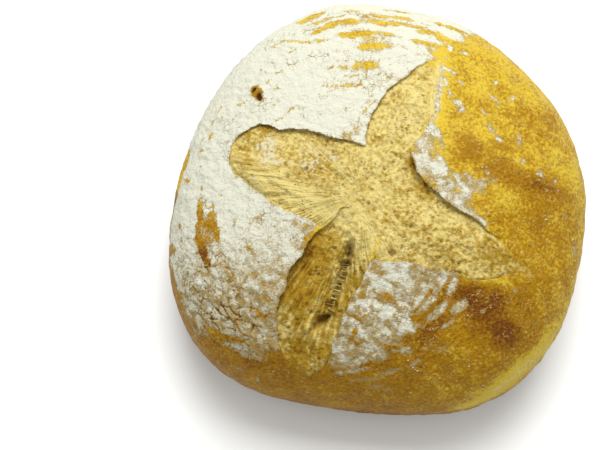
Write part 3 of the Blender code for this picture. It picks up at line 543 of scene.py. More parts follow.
# Painted shade where one looks deep into the torn dough, in its tear and large holes, with the columns of a
# stroke
SHADED_OPENINGS = (
    (-18.6, -40.0, 6.5, 1.25, 84, 0.95), (-21.2, -47.0, 2.6, 1.6, 60, 0.8),
    (-33.4, -76.4, 3.4, 1.9, 20, 0.95), (-29.0, -69.5, 3.6, 1.6, 70, 0.65),
    (-37.6, -78.4, 1.3, 1.1, 0, 1.0), (-25.0, -59.0, 8.0, 1.2, 66, 0.5), (4.1, -39.0, 1.8, 1.2, -20, 0.9),
    (38.2, -44.9, 1.5, 1.0, 0, 0.8), (-4.6, 33.6, 1.3, 1.0, 40, 0.8),
)
# Where the torn dough drew out in fibres, with the columns of a stain
FIBROUS_PLACES = (
    (-56, -2, 30, 8, -32, 1.0), (-30, -14, 16, 6, -10, 0.9), (-43, -60, 13, 36, 8, 1.4),
    (-30, 12, 18, 7, -40, 0.6), (-75, 14, 14, 10, -30, 0.6), (-20, -66, 8, 22, -14, 0.8),
    (-11, -38, 6, 15, -10, 0.9),
)
# Pores in the torn dough: how many, their radii and depth, and the seed that places them
PORES = 220
PORE_RADIUS = (0.4, 1.1)
PORE_DEPTH = 1.5
# How wide pores are for their radius, the power that makes most small, how far inside an opening they start,
# how far they are moved off a vertex, and the depth at which their painted shade is darkest
PORE_WIDTH = 1.3
PORE_SMALLNESS = 2.2
PORE_MARGIN = 1.2
PORE_JITTER = 0.4
PORE_SHADE_AT = 1.3
PORE_SEED = 23

# Gluten threads over the tear in the hollow
THREADS = 17
THREAD_SPAN = (0.26, 0.74)
THREAD_JITTER = (0.1, 0.9)
# How far a thread's ends lie from the tear's middle and along it, on the west and on the east side
THREAD_WEST = ((2.0, 4.4), (-0.9, 0.5))
THREAD_EAST = ((0.6, 1.3), (-0.3, 0.5))
THREAD_SAG = 0.6
THREAD_RADIUS = 0.36
THREAD_VARIES = (0.7, 1.3)
# A thread's thickness at its west end, how much less it is at the east end, and how much less in the middle
THREAD_TAPER = (1.7, 0.9, 0.7)
THREAD_SIDES = 6
THREAD_RINGS = 9
THREAD_SEED = 5

# Loose flour on the golden crust
FLOUR_CRUMBS = 900
FLOUR_CRUMB_RADIUS = (0.12, 0.7)
FLOUR_CRUMB_SMALLNESS = 3.5
FLOUR_SEED = 41
# Where crumbs are tried: half side of a square, how far from the crown, and how many tries a crumb
TRY_SIDE = 135.0
TRY_REACH = 133.0
TRIES = 14
# They lie this far from an opening and where less flour covers the crust than this
CRUMB_MARGIN = 0.5
CRUMB_MOST_COVER = 0.35
# They gather near the flour and in clusters: (size, amount, turn)
NEAR_FLOUR = 14.0
NEAR_FLOUR_SHARE = 0.5
CLUSTERS = ((11.0, 1.0, 0.0), (4.0, 0.6, 0.0))
CLUSTER_SHARE = 0.9
CLUSTER_LOSS = 0.15
LEAST_CHANCE = 0.01
# They start this far west of the crown and come to their full number over this run
EAST_FROM = 40.0
EAST_RUN = 90.0

# The photograph's view: where the camera looks, in millimetres, from how far, how steeply and its lens
CAMERA_AIM = (-43.9, -14.2, 40.0)
CAMERA_DISTANCE = 660.0
CAMERA_ELEVATION = 75.0
CAMERA_LENS = 70.0
# The stage, in metres: half side of the table, its drop below the loaf, where the light is and looks, and
# the nearest that the camera sees
CAMERA_NEAR = 0.01
TABLE_REACH = 1.5
TABLE_DROP = 0.0002
LIGHT_AT = (0.06, 0.68, 1.12)
LIGHT_AIM = (0, 0, 0.05)

# Patterns of the finish: (size in millimetres, detail, contrast)
CRUST_MOTTLE = ((10.0, 4.0, 1.1), (1.7, 5.0, 1.5))
FLOUR_GRAIN = ((1.0, 3.0, 1.2), (4.0, 4.0, 1.6))
COVER_GRAIN = ((0.9, 3.0, 1.1), (3.0, 3.0, 0.9))


def linear(code):
    """The linear colour of an sRGB hex code such as E8E4D2."""
    parts = [int(code[place:place + 2], 16) / 255 for place in (0, 2, 4)]
    return tuple(part / 12.92 if part <= 0.04045 else ((part + 0.055) / 1.055) ** 2.4 for part in parts)


def colour_property(name, description, code):
    """A colour that a user can change, which starts at this sRGB hex code."""
    return FloatVectorProperty(name=name, description=description, subtype="COLOR", size=3, min=0, max=1,
                               default=linear(code))


class LoafLooks(PropertyGroup):
    """Sizes and colours of the baked surface."""
    flour_white: colour_property("Flour", "Thick dry flour", "C2C2B2")
    flour_thin: colour_property("Thin flour", "Flour baked onto the skin", "927E4F")
    crust_gold: colour_property("Golden crust", "Lightly baked crust", "C0A42B")
    crust_amber: colour_property("Amber crust", "Well baked crust", "936A03")
    crust_brown: colour_property("Brown crust", "Darkest baked crust", "633502")
    # Dark brown of scorched lip edges, also used as painted shade on the walls under leaning lips
    scorched_and_shaded: colour_property("Scorched lip", "Thin edge of the skin", "391C08")
    crumb_pale: colour_property("Pale crumb", "Dough that tore late", "C7B773")
    crumb_gold: colour_property("Golden crumb", "Dough that tore early", "927318")
    crumb_dust: colour_property("Dusted crumb", "Flour that fell in", "BDB595")
    relief: FloatProperty(
        name="Relief", description="Strength of the finest relief", default=1.0, min=0.0, max=3.0)
    threads: IntProperty(
        name="Threads", description="Gluten threads over the tear", default=THREADS, min=1, max=60)
    crumbs: IntProperty(
        name="Flour crumbs", description="Loose crumbs of flour", default=FLOUR_CRUMBS, min=1, max=4000)


class StageLooks(PropertyGroup):
    """The table and the light."""
    table: colour_property("Table", "White table", "F3F5F5")
    table_shade: colour_property("Table shade", "Faint mottle of the table", "E9ECEC")
    window: FloatProperty(
        name="Window light", description="Power of the large soft light", subtype="POWER",
        default=20.2, min=0)
    window_size: FloatProperty(
        name="Window size", description="Side of the soft light", subtype="DISTANCE", default=0.9, min=0.1)
    room: FloatProperty(
        name="Room light", description="Strength of the light from all round", default=0.70, min=0)
    room_tint: colour_property("Room tint", "Colour of the light from all round", "FFFDF8")


def profile():
    """The loaf's half section: distance along the crust, share of the radius, and height."""
    turn = np.linspace(0.0, math.pi / 2, QUARTER_STEPS)
    dome = (np.sin(turn) ** (2 / DOME_POWER),
            WIDEST_HEIGHT + (CROWN_HEIGHT - WIDEST_HEIGHT) * np.cos(turn) ** (2 / DOME_POWER))
    underside = (FOOT_SHARE + (1 - FOOT_SHARE) * np.cos(turn) ** (2 / UNDERSIDE_POWER),
                 WIDEST_HEIGHT * (1 - np.sin(turn) ** (2 / UNDERSIDE_POWER)))
    foot = (np.linspace(FOOT_SHARE, 0.0, FOOT_STEPS), np.zeros(FOOT_STEPS))
    share = np.concatenate([dome[0], underside[0][1:], foot[0][1:]])
    height = np.concatenate([dome[1], underside[1][1:], foot[1][1:]])
    steps = np.hypot(np.diff(share) * MEAN_RADIUS, np.diff(height))
    return np.concatenate([[0.0], np.cumsum(steps)]), share, height


ALONG, SHARE, HEIGHT = profile()
WIDEST_AT = float(ALONG[QUARTER_STEPS - 1])
FOOT_AT = float(ALONG[2 * QUARTER_STEPS - 2])
CENTRE_AT = float(ALONG[-1])


def skin(places):
    """Points of the smooth loaf, in millimetres, at places measured along its crust."""
    along = np.hypot(places[:, 0], places[:, 1])
    bearing = np.arctan2(places[:, 1], places[:, 0])
    lobes = sum(a * np.cos(k * bearing) + b * np.sin(k * bearing)
                for k, (a, b) in enumerate(PLAN_LOBES, start=2))
    radius = MEAN_RADIUS * (1 + lobes * np.clip(along / ROUND_CROWN, 0, 1))
    radius = radius * np.interp(along, ALONG, SHARE)
    return np.stack([CROWN_OFFSET[0] + radius * np.cos(bearing),
                     CROWN_OFFSET[1] + radius * np.sin(bearing),
                     np.interp(along, ALONG, HEIGHT)], axis=1)


def skin_normals(places):
    """Outward directions of the smooth loaf at these places."""
    along = np.hypot(places[:, 0], places[:, 1])[:, None]
    outward = places / np.maximum(along, 1e-6)
    sideways = np.stack([-outward[:, 1], outward[:, 0]], axis=1)
    down = skin(places + outward * NORMAL_REACH) - skin(places - outward * NORMAL_REACH)
    across = skin(places + sideways * NORMAL_REACH) - skin(places - sideways * NORMAL_REACH)
    normal = np.cross(down, across)
    return normal / np.maximum(np.linalg.norm(normal, axis=1, keepdims=True), 1e-9)


NOISE_TABLE = np.random.default_rng(SEED).uniform(-1, 1, (NOISE_CELLS,) * 3)


def lumps(points, size, turn=0.0):
    """Smooth noise between -1 and 1 with lumps of this size, at points in millimetres."""
    cosine, sine = math.cos(turn), math.sin(turn)
    east, north, up = points.T
    turned = np.stack([cosine * east - sine * up, north + 0.37 * east, sine * east + cosine * up], axis=1)
    scaled = turned / size + 11.7 * (1 + turn)
    cell = np.floor(scaled).astype(int)
    part = scaled - cell
    part = part * part * part * (part * (part * 6 - 15) + 10)
    total = np.zeros(len(points))
    for corner in range(8):
        step = np.array([corner & 1, corner >> 1 & 1, corner >> 2 & 1])
        weight = np.prod(np.where(step, part, 1 - part), axis=1)
        x, y, z = ((cell + step) % NOISE_CELLS).T
        total += weight * NOISE_TABLE[x, y, z]
    return total


def layers(points, table, turn=0.0):
    """Lumps of several sizes, each (size, height), added up."""
    return sum(height * lumps(points, size, turn + 0.9 * n) for n, (size, height) in enumerate(table))


def speckles(points, table):
    """Lumps of several sizes, each (size, amount, turn), added up."""
    return sum(amount * lumps(points, size, turn) for size, amount, turn in table)


def through(points, steps=CURVE_STEPS):
    """A smooth curve through the points, with all their columns, as a line of many short steps."""
    rows = np.array(points, float)
    padded = np.vstack([2 * rows[0] - rows[1], rows, 2 * rows[-1] - rows[-2]])
    t = np.linspace(0, 1, steps, endpoint=False)[:, None]
    spans = []
    for before, start, end, after in zip(padded, padded[1:], padded[2:], padded[3:]):
        spans.append(0.5 * (2 * start + (end - before) * t + (2 * before - 5 * start + 4 * end - after) * t**2
                            + (3 * start - before - 3 * end + after) * t**3))
    return np.vstack(spans + [rows[-1:]])


def nearest_on(places, line):
    """For each place: its distance to a line, the line's values there, the way from the line to the place,
    and the way to the left of the line."""
    start, step = line[:-1, :2], np.diff(line[:, :2], axis=0)
    length2 = np.maximum((step**2).sum(axis=1), 1e-12)
    rows, gaps, lefts = [], [], []
    for chunk in np.array_split(places, max(1, len(places) // 4000)):
        offset = chunk[:, None, :] - start[None]
        share = np.clip((offset * step).sum(axis=2) / length2, 0, 1)
        gap = offset - share[:, :, None] * step
        best = (gap**2).sum(axis=2).argmin(axis=1)
        each = np.arange(len(chunk))
        rows.append(best + share[each, best])
        gaps.append(gap[each, best])
        lefts.append(step[best][:, ::-1] * (-1, 1) / np.sqrt(length2[best])[:, None])
    row, gap = np.concatenate(rows), np.vstack(gaps)
    distance = np.linalg.norm(gap, axis=1)
    values = np.stack([np.interp(row, np.arange(len(line)), column) for column in line.T], axis=1)
    return distance, values, gap / np.maximum(distance, 1e-9)[:, None], np.vstack(lefts)


def is_inside(places, line):
    """Whether each place lies inside a closed line, by counting crossings."""
    inside = np.zeros(len(places), bool)
    for (x0, y0), (x1, y1) in zip(line[:-1, :2], line[1:, :2]):
        crosses = (y0 > places[:, 1]) != (y1 > places[:, 1])
        if y0 != y1:
            inside ^= crosses & (places[:, 0] < (x1 - x0) * (places[:, 1] - y0) / (y1 - y0) + x0)
    return inside


def blended_depth(places, line):
    """The tear's depth inside an outline, blended from the depths along its edges by nearness."""
    middle = (line[:-1] + line[1:]) / 2
    length = np.linalg.norm(np.diff(line[:, :2], axis=0), axis=1)
    found = []
    for chunk in np.array_split(places, max(1, len(places) // 4000)):
        gap2 = ((chunk[:, None, :] - middle[None, :, :2]) ** 2).sum(axis=2)
        weight = length / (gap2 + DEPTH_BLEND_SOFT) ** (DEPTH_BLEND_POWER / 2)
        found.append((weight * middle[:, 2]).sum(axis=1) / weight.sum(axis=1))
    return np.concatenate(found)


def ease(x):
    """0 below 0, 1 above 1, and smooth between them."""
    x = np.clip(x, 0, 1)
    return x * x * (3 - 2 * x)


def on_flat(places):
    """Places as points on a flat map of the crust."""
    return np.column_stack([places, np.zeros(len(places))])


def outline(edges):
    """The closed line, clockwise from above, that these edges make end to end, with ragged lips."""
    line = np.vstack([through(edge)[:-1] for edge in edges] + [np.array(edges[0][:1], float)])
    flat = on_flat(line[:, :2])
    line[:, 0] += layers(flat, LIP_FRAY, 0.4)
    line[:, 1] += layers(flat, LIP_FRAY, 1.5)
    return line


def within_reach(places, line, reach):
    """The numbers of the places in a box round a line."""
    low, high = line[:, :2].min(axis=0) - reach, line[:, :2].max(axis=0) + reach
    return np.flatnonzero(((places > low) & (places < high)).all(axis=1))


def onto_edges(places, reach):
    """The places, with those closer than this to a torn edge moved onto it, so that lips come out crisp."""
    places = places.copy()
    for edges in (CROSS, HOLLOW):
        line = outline(edges)
        near = within_reach(places, line, reach)
        distance, _, away, _ = nearest_on(places[near], line)
        places[near] -= away * (distance * (distance < reach))[:, None]
    return places


def opening(places, edges, reach=OPENING_REACH):
    """What one opening does to the crust: how far each place moves along the crust, how far it rises, how far
    inside the outline it lies (negative outside), and the nearest edge's depth and lean."""
    line = outline(edges)
    near = within_reach(places, line, reach)
    shift, rise, inward = np.zeros_like(places), np.zeros(len(places)), np.full(len(places), -reach)
    edge = np.zeros((len(places), 2))
    here = places[near]
    distance, values, away, left = nearest_on(here, line)
    on_edge = distance < ON_EDGE
    inside = is_inside(here, line) & ~on_edge
    away = np.where(on_edge[:, None], left, away)
    _, _, edge_depth, lip_rise, lean = values.T
    depth = np.where(inside, blended_depth(here, line), edge_depth)
    wall = WALL_LEAST + WALL_RUN * edge_depth + lean
    down = ease(distance / wall)
    out = np.exp(-distance / LIP_CURL_LENGTH)
    rise[near] = np.where(inside, lip_rise * (1 - down) - depth * down, lip_rise * out)
    across = np.clip(distance / wall, 0, 1)
    past = np.maximum(distance - wall, 0)
    inner = np.where(distance < wall, lean * (1 - 2 * across) - distance,
                     -(wall + lean) * np.exp(-past / FLOOR_SETTLE))
    outer = lean * np.exp(-distance / LIP_LEAN_LENGTH)
    shift[near] = away * np.where(inside, inner, -outer)[:, None]
    inward[near] = np.where(inside, distance, -distance)
    edge[near] = values[:, (2, 4)]
    return shift, rise, inward, edge


def mound(places, east, north, length, width, bearing=0.0):
    """A smooth mound of height 1, with this half length and half width."""
    turn = math.radians(bearing)
    x, y = places[:, 0] - east, places[:, 1] - north
    along = (x * math.cos(turn) + y * math.sin(turn)) / length
    across = (-x * math.sin(turn) + y * math.cos(turn)) / width
    return np.exp(-(along**2 + across**2))


def from_ends(places, line):
    """How far each place is from the nearer end of a line."""
    return np.minimum(np.linalg.norm(places - line[0], axis=1), np.linalg.norm(places - line[-1], axis=1))


def groove(places, points, half_width):
    """A smooth groove of depth 1 along a line, running out towards its ends."""
    line = through(points)
    distance = nearest_on(places, line)[0]
    run_out = ease(from_ends(places, line) / (3 * half_width) + GROOVE_END)
    return np.exp(-((distance / half_width) ** 2)) * run_out


def tear(places):
    """The tear at the bottom of the hollow, 1 at its deepest, steeper on its east side."""
    line = through(TEAR_LINE)
    distance, _, away, left = nearest_on(places, line)
    half_width = np.where((away * left).sum(axis=1) > 0, TEAR_HALF_WIDTHS[1], TEAR_HALF_WIDTHS[0])
    return np.exp(-((distance / half_width) ** 2)) * ease(from_ends(places, line) / TEAR_RUN_OUT + TEAR_END)


def pit(places, east, north, radius):
    """A round pit of depth 1 with steep sides."""
    distance = np.hypot(places[:, 0] - east, places[:, 1] - north)
    return 1 - ease((distance / radius - PIT_FLOOR) / PIT_WALL)


def pits(places, table):
    """The depth of many pits, each (east, north, radius, depth), in millimetres."""
    return sum(depth * pit(places, east, north, radius) for east, north, radius, depth in table)


def frayed(places):
    """Places pushed about a little, so that holes and tears come out ragged."""
    flat = on_flat(places)
    return places + np.stack([layers(flat, HOLE_FRAY, 0.4), layers(flat, HOLE_FRAY, 1.5)], axis=1)


def plates(spots, page):
    """Uneven plates at places counted in plates: how far the second nearest middle is beyond the nearest, and
    how high the nearest plate's own slope stands there."""
    base = np.floor(spots).astype(int)
    away, tips = [], []
    for step in ((x, y) for x in (-1, 0, 1) for y in (-1, 0, 1)):
        i, j = (base + step).T % NOISE_CELLS
        offset = spots - base - step - 0.5 - FLAKE_JITTER * NOISE_TABLE[i, j, page:page + 2]
        slope = NOISE_TABLE[i, j, page + 2:page + 4]
        away.append(np.hypot(*offset.T))
        tips.append((offset * slope).sum(axis=1) + FLAKE_STEP * NOISE_TABLE[i, j, page + 4])
    order = np.argsort(away, axis=0)
    each = np.arange(len(spots))
    away = np.array(away)
    return away[order[1], each] - away[order[0], each], np.array(tips)[order[0], each]


def flakes(places):
    """Flakes of dried flour: 1 in the gaps between them and 0 on them, and how far each tips up or down."""
    turn = math.radians(FLAKE_BEARING)
    flat = on_flat(places)
    x = places[:, 0] * math.cos(turn) + places[:, 1] * math.sin(turn)
    y = places[:, 1] * math.cos(turn) - places[:, 0] * math.sin(turn)
    x += layers(flat, FLAKE_WARP, 0.3)
    y += layers(flat, FLAKE_WARP, 1.4)
    spots = np.stack([x, y], axis=1) / FLAKE_SIZE
    gap, tip = plates(spots, 3)
    small_gap, small_tip = plates(spots * FLAKES_ACROSS, 13)
    usual, varied = FLAKE_GAP
    width = usual + varied * speckles(flat, (GAP_PATCHES,))
    wide = 1 - ease(gap / np.maximum(width, FLAKE_GAP_LEAST))
    shown = ease(CRACK_SHARE + speckles(flat, (CRACK_PATCHES,)))
    thin = (1 - ease(small_gap / FLAKE_CRACK)) * shown
    return np.maximum(wide, SMALL_CRACKS * thin), tip + SMALL_SLOPES * small_tip


def strokes(places, table):
    """The strongest of many elongated patches at each place: 1 inside a patch, fading at its edge."""
    strongest = np.zeros(len(places))
    for east, north, length, width, bearing, amount in table:
        reach = PATCH_REACH * length
        near = np.flatnonzero((np.abs(places[:, 0] - east) < reach) & (np.abs(places[:, 1] - north) < reach))
        turn = math.radians(bearing)
        x, y = places[near, 0] - east, places[near, 1] - north
        along = (x * math.cos(turn) + y * math.sin(turn)) / length
        across = (y * math.cos(turn) - x * math.sin(turn)) / width
        out = np.sqrt(along**2 + across**2)
        patch = amount * (1 - ease((out - PATCH_MIDDLE) / PATCH_FADE))
        strongest[near] = np.maximum(strongest[near], patch)
    return strongest


def stains(places, table):
    """The sum of many soft elongated stains at each place."""
    return sum(row[5] * mound(places, *row[:5]) for row in table)


def inside_by(places, points):
    """How far each place lies inside a smooth closed outline, negative outside, in millimetres."""
    line = through(points + points[:1])
    distance = nearest_on(places, line)[0]
    return np.where(is_inside(places, line), distance, -distance)


def round_about(places, centre, radius, stretch):
    """Places wrapped round a cylinder, so that noise on them is drawn out along rings round a centre."""
    offset = places - centre
    bearing = np.arctan2(offset[:, 1], offset[:, 0])
    around = radius / stretch
    return np.stack([around * np.cos(bearing), around * np.sin(bearing), np.hypot(*offset.T)], axis=1)


def outward_from(places, centre, radius, stretch):
    """Places wrapped round a cylinder, so that noise on them is drawn out away from a centre."""
    offset = places - centre
    bearing = np.arctan2(offset[:, 1], offset[:, 0])
    return np.stack([radius * np.cos(bearing), radius * np.sin(bearing),
                     np.hypot(*offset.T) / stretch], axis=1)


def pores(places, inward):
    """Round pores of many sizes in the torn dough, as depth in millimetres."""
    random = np.random.default_rng(PORE_SEED)
    torn = np.flatnonzero(inward > PORE_MARGIN)
    depth = np.zeros(len(places))
    if len(torn) == 0:
        return depth
    chosen = random.choice(torn, PORES)
    centres = places[chosen] + random.uniform(-PORE_JITTER, PORE_JITTER, (PORES, 2))
    small, large = PORE_RADIUS
    radii = random.uniform(0, 1, PORES) ** PORE_SMALLNESS * (large - small) + small
    for centre, radius in zip(centres, radii):
        near = torn[(np.abs(places[torn] - centre) < 2 * radius).all(axis=1)]
        distance = np.linalg.norm(places[near] - centre, axis=1)
        hollow = PORE_DEPTH * radius * (1 - ease(distance / (PORE_WIDTH * radius)))
        depth[near] = np.maximum(depth[near], hollow)
    return depth


def flour_cracks(places):
    """Thin cracks in the flour, 1 at their middle, and their depth in millimetres."""
    amount, depth = np.zeros(len(places)), np.zeros(len(places))
    for points, half_width, deep in FLOUR_CRACKS:
        crack = groove(places, points, half_width)
        amount = np.maximum(amount, crack)
        depth = np.maximum(depth, deep * crack)
    return amount, depth


def flour_patch(places, points, uneven, edge):
    """Flour inside an outline: 1 well inside it, 0 well outside, and frayed between."""
    fray, fade, on_outline = edge
    return ease((inside_by(places, points) + fray * uneven) / fade + on_outline)


def flour_cover(places, points, bare_skin):
    """How much flour lies at each place: none at 0, and thick flour at 1 and above."""
    uneven = layers(points, FLOUR_FRAY)
    rings = lumps(round_about(places, RINGS_CENTRE, *RINGS_WRAP), BASKET_RING_WIDTH)
    thin = stains(places, THIN_PLACES) * (1 + THIN_RINGS * rings)
    west = WEST_COVER - thin + speckles(points, WEST_LUMPS)
    south_east = SOUTH_EAST_COVER + SOUTH_EAST_RINGS * rings + speckles(points, SOUTH_EAST_LUMPS)
    north_east = NORTH_EAST_COVER + speckles(points, NORTH_EAST_LUMPS)
    cover = flour_patch(places, WEST_FLOUR, uneven, WEST_EDGE) * west
    cover = np.maximum(cover, flour_patch(places, SOUTH_EAST_FLOUR, uneven, SOUTH_EAST_EDGE) * south_east)
    cover = np.maximum(cover, flour_patch(places, NORTH_EAST_FLOUR, uneven, NORTH_EAST_EDGE) * north_east)
    pushed = places + PUSH * np.stack([lumps(points, PUSH_SIZE, turn) for turn in PUSH_TURNS], axis=1)
    stroked = strokes(pushed, FLOUR_STROKES) * (STROKE_COVER + speckles(points, STROKE_LUMPS))
    cover = np.maximum(cover, stroked)
    cover -= strokes(pushed, BARE_PLACES) * (BARE_SHARE + speckles(points, BARE_LUMPS))
    low = np.hypot(places[:, 0], places[:, 1]) + speckles(points, FLOUR_END_LUMPS)
    cover *= 1 - FLOUR_END_LOSS * ease((low - FLOUR_ENDS_AT) / FLOUR_ENDS_OVER)
    return np.clip(cover, 0, MOST_FLOUR) * bare_skin


def lip_scorch_and_shade(inward, edge):
    """How dark the lip of an opening is: lips that lean over a tear have a thin dark edge, scorched on top
    and painted shade on the wall below.
    """
    amount = np.clip(edge[:, 1] / SCORCH_SHADE_LEAN, 0, 1)
    outside = np.exp(-((np.minimum(inward, 0) / SCORCH_SHADE_OUTSIDE) ** 2))
    inside = 1 - ease(inward / (SCORCH_SHADE_INSIDE[0] + SCORCH_SHADE_INSIDE[1] * edge[:, 1]))
    return amount * np.where(inward < 0, outside, inside)


def baked_surface(places, step):
    """The loaf's surface in metres at these places, and what its finish needs to know there."""
    places = onto_edges(places, EDGE_CATCH * step)
    cross_shift, cross_rise, cross_inward, cross_edge = opening(places, CROSS)
    hollow_shift, hollow_rise, hollow_inward, hollow_edge = opening(places, HOLLOW)
    inward = np.maximum(cross_inward, hollow_inward)
    torn = ease(inward / TORN_BLEND)
    moved = places + cross_shift + hollow_shift
    points = skin(moved)
    fibres = outward_from(places, FIBRE_CENTRE, *FIBRE_WRAP)
    lip = np.exp(-((np.minimum(inward, 0) / BARE_LIP_WIDTH) ** 2))
    on_skin = 1 - ease(inward / TORN_CLEAR)
    cover = flour_cover(places, points, on_skin * (1 - BARE_LIP * lip))
    # Pale band on the south-east flap's lip: partly flour, partly a painted highlight
    rim_flour_and_highlight = np.exp(-(((inward + RIM_WIDTH) / RIM_WIDTH) ** 2)) * mound(places, *RIM_PLACE)
    cover = np.maximum(cover, RIM_COVER * rim_flour_and_highlight * on_skin)
    flaked = (1 - torn) * mound(places, *FLAKE_PLACE) * np.clip(cover / FLAKED_COVER, 0, 1)
    gaps, tips = flakes(places)
    cracks, crack_depth = flour_cracks(places)
    holes = pores(places, inward)
    ragged = frayed(places)
    charred = sum(pit(ragged, *hole[:3]) for hole in CHARRED_PITS)
    fibrous = np.clip(stains(places, FIBROUS_PLACES), 0, 1)
    rise = cross_rise + hollow_rise
    rise += torn * stains(places, DOUGH_SWELLS)
    rise += (1 - torn) * layers(points, CRUST_LUMPS + FINE_CRUST_LUMPS)
    rise += torn * layers(points, TORN_LUMPS)
    rise += torn * (1 - FIBRES_SMOOTH * fibrous) * layers(points, FINE_TORN_LUMPS)
    rise += torn * fibrous * FIBRE_RELIEF * lumps(fibres, FIBRE_WIDTH)
    rise += torn * sum(fold[2] * groove(places, *fold[:2]) for fold in DOUGH_FOLDS)
    rise -= TEAR_DEPTH * tear(ragged) + pits(ragged, HOLES) + torn * holes
    rise += stains(places, (BLISTER,)) - pits(ragged, CHARRED_PITS)
    rise -= SPLIT_DEPTH * groove(places, SIDE_SPLIT, SPLIT_HALF_WIDTH)
    rise += FOLD_HEIGHT * groove(places, SHAPING_FOLD, FOLD_HALF_WIDTH)
    crumpled = sum(amount * np.abs(lumps(points, size, turn)) for size, amount, turn in CRUMPLE_LUMPS)
    floured = ease((cover - THICK_FROM) / THICK_OVER)
    rise += floured * (FLOUR_THICKNESS - CRUMPLE * (1 - FLAKES_SMOOTH * flaked) * crumpled)
    rise += flaked * (FLAKE_TIP * tips - FLAKE_GAP_DEPTH * gaps) - crack_depth
    along = np.hypot(places[:, 0], places[:, 1])
    fade = FOOT_AT - FADE_END - WIDEST_AT - FADE_START
    rise *= 1 - ease((along - WIDEST_AT - FADE_START) / fade)
    points = points + rise[:, None] * skin_normals(moved)
    points[:, 2] = np.maximum(points[:, 2], 0.0)
    # Dark lips: scorched on their edges, and painted shade on the walls under lips that lean over an opening
    scorch_and_shade = np.maximum(lip_scorch_and_shade(cross_inward, cross_edge), lip_scorch_and_shade(hollow_inward, hollow_edge))
    scorch_and_shade = scorch_and_shade * (1 - PALE_LIP_SHARE * mound(places, *PALE_LIP))
    south = ease((SOUTH_SIDE_FROM - places[:, 1] - SOUTH_SIDE_SLANT * places[:, 0]) / SOUTH_SIDE_RUN)
    below = ease((along - WIDEST_AT + BELOW_FROM) / BELOW_RUN)
    # Browning, with painted shade towards the south and in the gaps between flakes
    browned = BROWN_EVEN + SOUTH_BROWN_AND_SHADE * south + BROWN_BELOW * below + GAP_SHADE * flaked * gaps
    bare = GAP_BARE * flaked * ease(GAP_SLOPE * gaps - GAP_START) + CRACK_BARE * cracks + charred
    white = WHITE_LEVEL + places @ WHITE_SLOPE / WHITE_RUN + stains(places, WHITE_PLACES) + RIM_HIGHLIGHT_WHITE * rim_flour_and_highlight
    edge_depth = np.where(cross_inward > hollow_inward, cross_edge[:, 0], hollow_edge[:, 0])
    blend_width = CRUMB_BLEND + CRUMB_BLEND_SHALLOW * np.clip(DEEP_LIP - edge_depth, 0, 1)
    fields = {
        "fibres": fibres,
        "flour": np.clip(cover - bare, 0, MOST_FLOUR),
        # Browning and painted shade, with a painted highlight on the south-east rim where the patches are
        # negative
        "brown": browned + stains(places, BROWN_PLACES),
        "scorch_and_shade": np.clip(SCORCH_SHADE_STRENGTH * scorch_and_shade + charred, 0, 1),
        "fibrous": fibrous,
        "white": np.clip(white, *WHITE_LIMITS),
        "open": ease(inward / blend_width),
        "dust": stains(places, CRUMB_DUST),
        "bake": stains(places, CRUMB_BAKE),
        # Painted shade in the pores, the tear and the large holes
        "hole": np.clip(holes / PORE_SHADE_AT + strokes(ragged, SHADED_OPENINGS), 0, 1),
    }
    return points * MM, inward, fields


def coarse_rings():
    """Rings of places from the crown to the foot, where the outermost stands for the foot's middle."""
    side_start = CAP_RINGS * RING_STEP
    rows = int((FOOT_AT - side_start) / SIDE_STEP) + 1
    count = 3 * CAP_RINGS
    side = [(side_start + (FOOT_AT - side_start) * row / rows, count) for row in range(1, rows + 1)]
    foot = [(FOOT_AT + (CENTRE_AT - FOOT_AT) * row / FOOT_RINGS, int(count * (1 - row / (FOOT_RINGS + 0.5))))
            for row in range(1, FOOT_RINGS)]
    sizes = [(k * RING_STEP, 6 * k) for k in range(1, CAP_RINGS + 1)] + side + foot
    rings = [np.zeros((1, 2))]
    for distance, count in sizes:
        turn = np.arange(count) * 2 * math.pi / count
        rings.append(np.stack([distance * np.cos(turn), distance * np.sin(turn)], axis=1))
    return rings + [np.array([[CENTRE_AT - 1e-6, 0.0]])]


def band(outer, inner):
    """Triangles that join two rings of vertices, whatever their counts, as a zip."""
    faces = []
    i = j = 0
    m, n = len(outer), len(inner)
    while i < m or j < n:
        if j == n or (i < m and (i + 1) * n <= (j + 1) * m):
            faces.append((outer[i % m], outer[(i + 1) % m], inner[j % n]))
            i += 1
        else:
            faces.append((outer[i % m], inner[(j + 1) % n], inner[j % n]))
            j += 1
    return [face for face in faces if len(set(face)) == 3]


def needs_fine_mesh(places):
    """Which places lie in or near an opening, among the flour's flakes or in a patch of flour."""
    fine = mound(places, *FLAKE_PLACE) > FINE_FLAKES
    for edges in (CROSS, HOLLOW):
        line = outline(edges)
        near = within_reach(places, line, FINE_MARGIN)
        distance = nearest_on(places[near], line)[0]
        fine[near] |= (distance < FINE_MARGIN) | is_inside(places[near], line)
    for points in (SOUTH_EAST_FLOUR, NORTH_EAST_FLOUR):
        fine |= inside_by(places, points) > -FINE_FLOUR_MARGIN
    return fine


